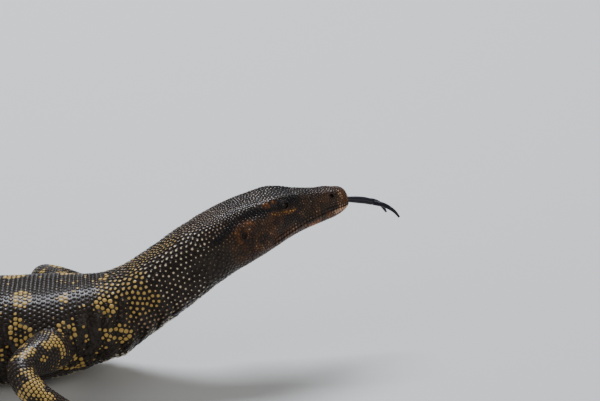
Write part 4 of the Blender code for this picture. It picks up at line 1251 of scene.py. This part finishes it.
def placeScales():  # where every scale stands and how big it is
    labials, labialSizes = labialSeeds()
    beads, beadSizes = openingSeeds()
    rows = rowSeeds()
    tubes = np.concatenate([tubeSeeds(shape) for parts in limbParts.values()
                            for shape in (parts["leg"], parts["palm"], *parts["toes"])])
    loose, looseSizes = candidateSeeds()
    pinned, pinnedSizes = np.concatenate([beads, labials]), np.concatenate([beadSizes, labialSizes])
    pinned = onSkin(pinned)[0]
    loose = loose[farFrom(np.concatenate([pinned, rows, tubes]), loose, looseSizes * coat["hole"])]
    rest = np.concatenate([rows, tubes, loose])
    settled = onSkin(rest)[0]
    shifted = np.linalg.norm(settled - rest, axis=1)
    group = np.repeat([0, 1, 2], [len(rows), len(tubes), len(loose)])
    station, angle, beyond = placeOnBody(settled)
    onLimb = isLimb(station, beyond)
    sizes = spacingAt(station, elevationOf(angle), settled[:, 2], onLimb)
    keep = (shifted < np.array(coat["shifts"])[group]) & clearOfFeatures(settled, station, angle)
    keep &= onLimb | (group != 1)
    settled, sizes, group = settled[keep], sizes[keep], group[keep]
    chosen = scatter(settled, sizes * np.where(group == 0, coat["rowCrowd"], 1), pinned, pinnedSizes)
    points = np.concatenate([pinned, settled[chosen]])
    sizes = np.concatenate([pinnedSizes, sizes[chosen]])
    free = np.concatenate([np.zeros(len(pinned), bool), group[chosen] > 0])
    print("scales placed:", len(points), "of which free", int(free.sum()))
    return relax(points, sizes, free), sizes


scalePoints, scaleSizes = placeScales()
scaleStation, scaleAngle, scaleBeyond = placeOnBody(scalePoints)
scaleElevation = elevationOf(scaleAngle)
scaleOnLimb = isLimb(scaleStation, scaleBeyond)
near = neighboursOf(scalePoints, coat["reachNear"])
slopes = onSkin(scalePoints)[1]
scaleNormals = unit(slopes + 0.7 * slopes[near[:, :7]].sum(axis=1) / 2)  # evened out over seven neighbours


def partOf():  # each scale's part, as a number in partNames
    part = np.searchsorted(coat["ends"], scaleStation, side="right")
    left = np.cos(np.radians(scaleAngle)) > 0
    hind = scaleStation >= coat["middle"]
    return np.where(scaleOnLimb, 4 + left + 2 * hind, part)


def makeCoat(material):
    made = []
    parts = partOf()
    for index, name in enumerate(partNames):
        own = np.nonzero(parts == index)[0]
        shape = shapes.get(name, shapes["limb"])
        points, station, angle = scalePoints[own], scaleStation[own], scaleAngle[own]
        count = len(own)
        if name in limbs:
            tubes = limbParts[name]
            which, share, turn, along = placeOnTubes(points, [tubes["leg"], tubes["palm"], *tubes["toes"]])
            strip = np.stack([which % 3, which // 3], -1)  # the map has three by three fields for the tubes
            unwrap = (strip + 0.96 * np.stack([share, turn], -1)) / 3
            heights = np.full(count, coat["legHeight"] / 1000) * (scaleSizes[own] * 1000 / coat["leg"]) ** 0.6
        else:
            along = -forwardAt(station)
            low, high = station.min(), station.max()
            unwrap = np.stack([(station - low) / (high - low), angle / 360 % 1], -1)
            heights = heightAt(station) / 1000 * (1 - coat["belly"] * ease(-35, -60, scaleElevation[own]))
            heights = heights * np.minimum(scaleSizes[own] / spacingAt(station, 0.0, 0.0, False), 1) ** 0.8
            more, elevation, width = coat["crest"]
            crest = np.exp(-((scaleElevation[own] - elevation) / width) ** 2) * ease(98, 116, station)
            heights = heights * (1 + more * crest)
        normals = scaleNormals[own]
        if name in ("head", "neck"):
            normals = unit(normals + rng.normal(0, coat["tilt"], (count, 3)))
        along = unit(along - normals * np.sum(along * normals, axis=1)[:, None])
        across = np.cross(normals, along)
        reach = scaleReach({"own": points, "all": scalePoints}, {"own": scaleSizes[own], "all": scaleSizes},
                           near[own], along, across, shape)
        batch = {
            "points": points, "normals": normals, "along": along, "across": across, "unwrap": unwrap,
            "reach": reach * rng.uniform(*coat["uneven"]["reach"], (count, 1)),
            "heights": heights * rng.uniform(*coat["uneven"]["height"], count),
            "keel": coat["keel"] * ease(95, 120, station) * ease(-10, 20, scaleElevation[own]),
        }
        masks = marksAndPaintedLight(points, station, angle, scaleBeyond[own])
        faces = 2 * shape["sides"] * len(shape["rings"]) - 2
        pieces = math.ceil(count * faces / coat["heaviest"])
        for piece in range(pieces):
            span = slice(piece * count // pieces, (piece + 1) * count // pieces)
            part = {key: value[span] for key, value in batch.items()}
            part["masks"] = {key: value[span] for key, value in masks.items()}
            label = f"{name}Scales" if pieces == 1 else f"{name}Scales{piece + 1}"
            made.append(coatMesh(label, shape, part, material))
            scales = span.stop - span.start
            print(made[-1].name, scales, "scales,", scales * faces, "triangles")
    return made


# Materials
def nodeMaterial(name):
    material = bpy.data.materials.new(name)
    material.use_nodes = True
    tree = material.node_tree
    return material, tree.nodes, tree.links, tree.nodes["Principled BSDF"]


def mixColour(nodes, links, first, second, factor):
    node = nodes.new("ShaderNodeMix")
    node.data_type = "RGBA"
    for socket, value in ((node.inputs[6], first), (node.inputs[7], second), (node.inputs[0], factor)):
        if isinstance(value, tuple):
            socket.default_value = (*value, 1)
        elif isinstance(value, (int, float)):
            socket.default_value = value
        else:
            links.new(value, socket)
    return node.outputs[2]


def calculate(nodes, links, operation, *values, clamp=False):
    node = nodes.new("ShaderNodeMath")
    node.operation = operation
    node.use_clamp = clamp
    for socket, value in zip(node.inputs, values):
        if isinstance(value, (int, float)):
            socket.default_value = value
        else:
            links.new(value, socket)
    return node.outputs[0]


def readMask(nodes, name):
    node = nodes.new("ShaderNodeAttribute")
    node.attribute_name = name
    return node.outputs["Fac"]


def noiseTexture(nodes, links, size, detail=4.0, roughness=0.55):
    place = nodes.new("ShaderNodeTexCoord")
    texture = nodes.new("ShaderNodeTexNoise")
    texture.inputs["Scale"].default_value = 1 / size
    texture.inputs["Detail"].default_value = detail
    texture.inputs["Roughness"].default_value = roughness
    links.new(place.outputs["Object"], texture.inputs["Vector"])
    return texture.outputs["Fac"]


def setSockets(shader, values):  # one value all over the surface, on the shader's own sockets
    for socket, value in values.items():
        shader.inputs[socket].default_value = value


def addBump(nodes, links, shader, height, distance, strength):
    bump = nodes.new("ShaderNodeBump")
    bump.inputs["Distance"].default_value = distance
    bump.inputs["Strength"].default_value = strength
    links.new(height, bump.inputs["Height"])
    links.new(bump.outputs["Normal"], shader.inputs["Normal"])


tones = {
    "base": (0.0105, 0.0074, 0.0052),
    "baseLight": (0.0310, 0.0205, 0.0128),
    "groove": (0.0035, 0.0028, 0.0026),
    "rust": (0.300, 0.096, 0.012),
    "tan": (0.330, 0.220, 0.130),
    "gold": (0.460, 0.300, 0.080),
    "pale": (0.660, 0.580, 0.430),
    "lip": (0.560, 0.340, 0.210),
    "dark": (0.0030, 0.0028, 0.0040),
    "roughness": (0.26, 0.44),
    "dull": 0.25,  # added to the roughness under the dark mask: dark marks and painted shade
    "finish": {"Specular IOR Level": 0.13, "Coat Weight": 0.24, "Coat Roughness": 0.11},
    "cloud": 0.012,  # sizes of the noise in metres
    "grain": 0.0009,
    "granule": 0.0007,
    "shares": (0.6, 0.4),  # of the scale's own tint and of the cloud in the base colour
    "rustSpread": (1.2, 0.35),  # how unevenly the rust lies on the scales, and the least of it
    "fill": (1.15, -1.10),  # how a mask's strength turns into the part of a scale that the tone fills
    "tintFill": 0.10,
    "edge": (5.0, 0.25),  # how sharply a tone ends within a scale, and where
    "darkShare": 0.8,
    "rim": (-8.0, 1.0),  # the groove's tone round a scale's foot, and its strength
    "rimShare": 0.7,
    "pit": -1.6,
    "bump": (0.00025, 0.35),  # distance in metres and strength
}


def makeHide(name):  # the same material for the skin and its scales
    material, nodes, links, shader = nodeMaterial(name)
    masks = {key: readMask(nodes, key)
             for key in ("pale", "gold", "tan", "rust", "dark", "lip", "centre", "tint")}
    cloud = noiseTexture(nodes, links, tones["cloud"])
    grain = noiseTexture(nodes, links, tones["grain"], 3.0, 0.6)

    def compute(operation, *values, clamp=False):
        return calculate(nodes, links, operation, *values, clamp=clamp)

    tintShare, cloudShare = tones["shares"]
    tinted = compute("MULTIPLY", masks["tint"], tintShare)
    variation = compute("ADD", tinted, compute("MULTIPLY", cloud, cloudShare))
    colour = mixColour(nodes, links, tones["base"], tones["baseLight"], variation)
    rusty = compute("MULTIPLY_ADD", variation, *tones["rustSpread"])
    rusty = compute("MULTIPLY", masks["rust"], rusty, clamp=True)
    colour = mixColour(nodes, links, colour, tones["rust"], rusty)
    # a tone fills a scale from its middle outwards
    # the tan mask also holds painted highlights over the crown
    for key in ("tan", "gold", "pale", "lip"):
        reach = compute("MULTIPLY_ADD", masks[key], *tones["fill"])
        reach = compute("ADD", reach, masks["centre"])
        reach = compute("MULTIPLY_ADD", masks["tint"], tones["tintFill"], reach)
        reach = compute("MULTIPLY_ADD", reach, *tones["edge"], clamp=True)
        colour = mixColour(nodes, links, colour, tones[key], reach)
    # the dark mask: real dark marks, and painted shade round the eyes, over the snout, along the temple
    # stripe and in the openings
    darkened = compute("MULTIPLY", masks["dark"], tones["darkShare"])
    colour = mixColour(nodes, links, colour, tones["dark"], darkened)
    rim = compute("MULTIPLY_ADD", masks["centre"], *tones["rim"], clamp=True)
    colour = mixColour(nodes, links, colour, tones["groove"], compute("MULTIPLY", rim, tones["rimShare"]))
    links.new(colour, shader.inputs["Base Color"])
    rough = nodes.new("ShaderNodeMapRange")
    links.new(grain, rough.inputs["Value"])
    rough.inputs["To Min"].default_value, rough.inputs["To Max"].default_value = tones["roughness"]
    dull = compute("MULTIPLY_ADD", masks["dark"], tones["dull"], rough.outputs["Result"])
    links.new(dull, shader.inputs["Roughness"])
    setSockets(shader, tones["finish"])
    # tiny granules fill the skin between the scales
    granules = nodes.new("ShaderNodeTexVoronoi")
    granules.inputs["Scale"].default_value = 1 / tones["granule"]
    links.new(nodes.new("ShaderNodeTexCoord").outputs["Object"], granules.inputs["Vector"])
    pits = compute("MULTIPLY", granules.outputs["Distance"], readMask(nodes, "bare"))
    addBump(nodes, links, shader, compute("MULTIPLY_ADD", pits, tones["pit"], grain), *tones["bump"])
    return material


hide = makeHide("hide")
skin.data.materials.clear()
skin.data.materials.append(hide)

coats = makeCoat(hide)
print("coat made")

# Eyes
eyeLook = {
    "pupil": 22,  # degrees from the gaze
    "iris": 42,
    "pupilColour": (0.002, 0.002, 0.002),
    "irisColour": (0.018, 0.008, 0.003),
    "ringColour": (0.060, 0.028, 0.007),
    "whiteColour": (0.006, 0.004, 0.0035),
    "segments": (64, 40),
    "finish": {"Roughness": 0.2, "Specular IOR Level": 0.15, "Coat Weight": 0.20, "Coat Roughness": 0.03},
}


def makeEyeMaterial():
    material, nodes, links, shader = nodeMaterial("eye gloss")
    gaze = readMask(nodes, "gaze")
    ramp = nodes.new("ShaderNodeValToRGB")
    stops = ramp.color_ramp
    stops.elements[0].position, stops.elements[0].color = 0.0, (*eyeLook["pupilColour"], 1)
    stops.elements[1].position, stops.elements[1].color = 1.0, (*eyeLook["whiteColour"], 1)
    pupil, iris = eyeLook["pupil"] / 90, eyeLook["iris"] / 90
    for place, colour in ((pupil, "pupilColour"), (pupil + 0.02, "ringColour"), (pupil + 0.07, "irisColour"),
                          (iris, "irisColour"), (iris + 0.04, "whiteColour")):
        element = stops.elements.new(place)
        element.color = (*eyeLook[colour], 1)
    links.new(gaze, ramp.inputs["Fac"])
    links.new(ramp.outputs["Color"], shader.inputs["Base Color"])
    setSockets(shader, eyeLook["finish"])
    return material


eyeGloss = makeEyeMaterial()
eyeBalls = []
for side, word in ((1, "left"), (-1, "right")):
    axes = headAxes(side, *eye["turn"])
    centre = eyeCentre(side)
    piece = ball(f"{word}Eye", centre, [eye["radius"] * percent] * 3, axes, *eyeLook["segments"])
    outward = unit(pointsOf(piece.data) - np.array(centre)) @ np.array(axes[2])
    storeMasks(piece.data, {"gaze": np.degrees(np.arccos(outward.clip(-1, 1))) / 90})
    piece.data.materials.append(eyeGloss)
    piece.data.shade_smooth()
    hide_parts(f"eye_{word}")
    eyeBalls.append(piece)
print("eyes made")

# Tongue, in metres from the snout's tip
tongue = {
    "stem": [(-0.0062, -0.0030, -0.0009), (0.0, 0.0, -0.0001), (0.0055, 0.0021, -0.0010),
             (0.0105, 0.0037, -0.0020), (0.0165, 0.0049, -0.0032), (0.0225, 0.0055, -0.0050)],
    "nearTine": [(0.0180, 0.0048, -0.0040), (0.0240, 0.0048, -0.0053), (0.0325, 0.0030, -0.0068),
                 (0.0406, 0.0010, -0.0112), (0.0455, -0.0010, -0.0165)],
    "farTine": [(0.0180, 0.0058, -0.0036), (0.0235, 0.0072, -0.0048), (0.0295, 0.0090, -0.0086),
                (0.0344, 0.0105, -0.0165)],
    "width": 0.0033,
    "depth": 0.0026,
    "swell": [0.86, 0.88, 0.90, 0.96, 1.04, 1.10, 1.12, 1.10, 1.04, 0.96],  # of the stem, from its root
    "tine": 0.0025,
    "tip": 0.0009,
    "tineFlat": 0.9,
    "samples": {"stem": 40, "nearTine": 44, "farTine": 36},
    "sides": 20,
    "crotch": (0.0012, 4),  # reach and rounds of the softening where it forks
    "colour": (0.005, 0.006, 0.010),
    "flush": (0.016, 0.012, 0.020),
    "cloud": 0.003,
    "grain": 0.0006,
    "bump": (0.0001, 0.4),
    "finish": {"Roughness": 0.32, "Specular IOR Level": 0.2, "Coat Weight": 0.12, "Coat Roughness": 0.15},
}


def makeTongue():
    start = spinePlaces[0]
    turns = evenTurns(tongue["sides"])
    pieces = []
    for key, count in tongue["samples"].items():
        path, shares = curvedPath(start + np.array(tongue[key]), count)
        if key == "stem":
            swell = tongue["swell"]
            radii = tongue["width"] * np.interp(shares, np.linspace(0, 1, len(swell)), swell)
            flat = tongue["depth"] / tongue["width"]
        else:
            radii = tongue["tine"] + (tongue["tip"] - tongue["tine"]) * shares ** 2
            flat = tongue["tineFlat"]
        pieces.append(loft(key, list(tubePoints(tubeShape(path, radii, flat), turns))))
    piece = pieces[0]
    combine(piece, pieces[1:], "UNION")
    soften(piece, sharpPlaces(piece), *tongue["crotch"])
    piece.name = "forkedTongue"
    material, nodes, links, shader = nodeMaterial("wet tongue")
    cloud = noiseTexture(nodes, links, tongue["cloud"])
    links.new(mixColour(nodes, links, tongue["colour"], tongue["flush"], cloud), shader.inputs["Base Color"])
    setSockets(shader, tongue["finish"])
    addBump(nodes, links, shader, noiseTexture(nodes, links, tongue["grain"]), *tongue["bump"])
    piece.data.materials.clear()
    piece.data.materials.append(material)
    piece.data.shade_smooth()
    return piece


forkedTongue = makeTongue()
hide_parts("tongue")
print("tongue made")

# Claws
clawLook = {
    "colour": (0.012, 0.010, 0.009),
    "streakColour": (0.070, 0.055, 0.040),
    "streaks": 0.002,
    "sides": 14,
    "high": 1.3,
    "finish": {"Roughness": 0.36, "Specular IOR Level": 0.3},
}


def makeClaws():
    turns = evenTurns(clawLook["sides"])
    shape = bmesh.new()
    for parts in limbParts.values():
        for claw in parts["claws"]:
            claw = dict(claw, flats=claw["flats"] * clawLook["high"])
            piece = loft("claw", list(tubePoints(claw, turns)))
            shape.from_mesh(piece.data)
            bpy.data.objects.remove(piece, do_unlink=True)
    mesh = bpy.data.meshes.new("claws")
    shape.to_mesh(mesh)
    shape.free()
    mesh.shade_smooth()
    material, nodes, links, shader = nodeMaterial("claw horn")
    streaks = noiseTexture(nodes, links, clawLook["streaks"], 2.0)
    colour = mixColour(nodes, links, clawLook["colour"], clawLook["streakColour"], streaks)
    links.new(colour, shader.inputs["Base Color"])
    setSockets(shader, clawLook["finish"])
    return makeObject("claws", mesh, material)


claws = makeClaws()
print("claws made")

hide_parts(*[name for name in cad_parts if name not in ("eye_left", "eye_right", "tongue")])
for piece in [skin, *coats, *eyeBalls, forkedTongue, claws]:
    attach(piece, "root")

# Camera, floor and light
view = {
    "elevation": 24,  # degrees
    "distance": 4.0,
    "frameWidth": 0.516,  # metres across the picture at the animal
    "aim": (-0.0395, 0.0348, -0.0165),  # from the snout's tip
}


def makeCamera():
    camera = bpy.data.objects.new("camera", bpy.data.cameras.new("camera"))
    bpy.context.scene.collection.objects.link(camera)
    target = Vector(spinePlaces[0]) + Vector(view["aim"])
    rise = math.radians(view["elevation"])
    camera.location = target + Vector((0, -math.cos(rise), math.sin(rise))) * view["distance"]
    camera.rotation_euler = (target - camera.location).to_track_quat("-Z", "Y").to_euler()
    camera.data.lens = camera.data.sensor_width * view["distance"] / view["frameWidth"]
    camera.data.clip_end = 100
    bpy.context.scene.camera = camera


studio = {
    "floorSize": 14,
    "floor": {"Base Color": (0.62, 0.62, 0.60, 1), "Roughness": 0.75},
    "world": {"Color": (0.84, 0.88, 0.95, 1), "Strength": 0.32},
    # name: place, aimed at, size, watts, colour
    "lights": {
        "overhead": ((0.35, 1.45, 2.6), (0.55, 0.0, 0.1), 1.0, 122, (0.88, 0.91, 1.0)),
        "side": ((-1.8, -1.6, 1.6), (0.3, 0.0, 0.1), 1.6, 20, (1.0, 0.97, 0.92)),
        "front": ((2.2, -1.2, 1.2), (0.6, 0.0, 0.1), 1.4, 11, (1.0, 0.96, 0.9)),
    },
}


def makeStudio():
    shape = bmesh.new()
    bmesh.ops.create_grid(shape, x_segments=1, y_segments=1, size=studio["floorSize"])
    mesh = bpy.data.meshes.new("floor")
    shape.to_mesh(mesh)
    shape.free()
    material, _, _, shader = nodeMaterial("floor")
    setSockets(shader, studio["floor"])
    makeObject("floor", mesh, material)
    world = bpy.data.worlds.new("studio")
    world.use_nodes = True
    setSockets(world.node_tree.nodes["Background"], studio["world"])
    bpy.context.scene.world = world
    for name, (place, target, size, watts, colour) in studio["lights"].items():
        light = bpy.data.objects.new(name, bpy.data.lights.new(name, "AREA"))
        light.data.size = size
        light.data.energy = watts
        light.data.color = colour
        light.location = place
        light.rotation_euler = (Vector(target) - Vector(place)).to_track_quat("-Z", "Y").to_euler()
        bpy.context.scene.collection.objects.link(light)


makeCamera()
makeStudio()
print("scene made")
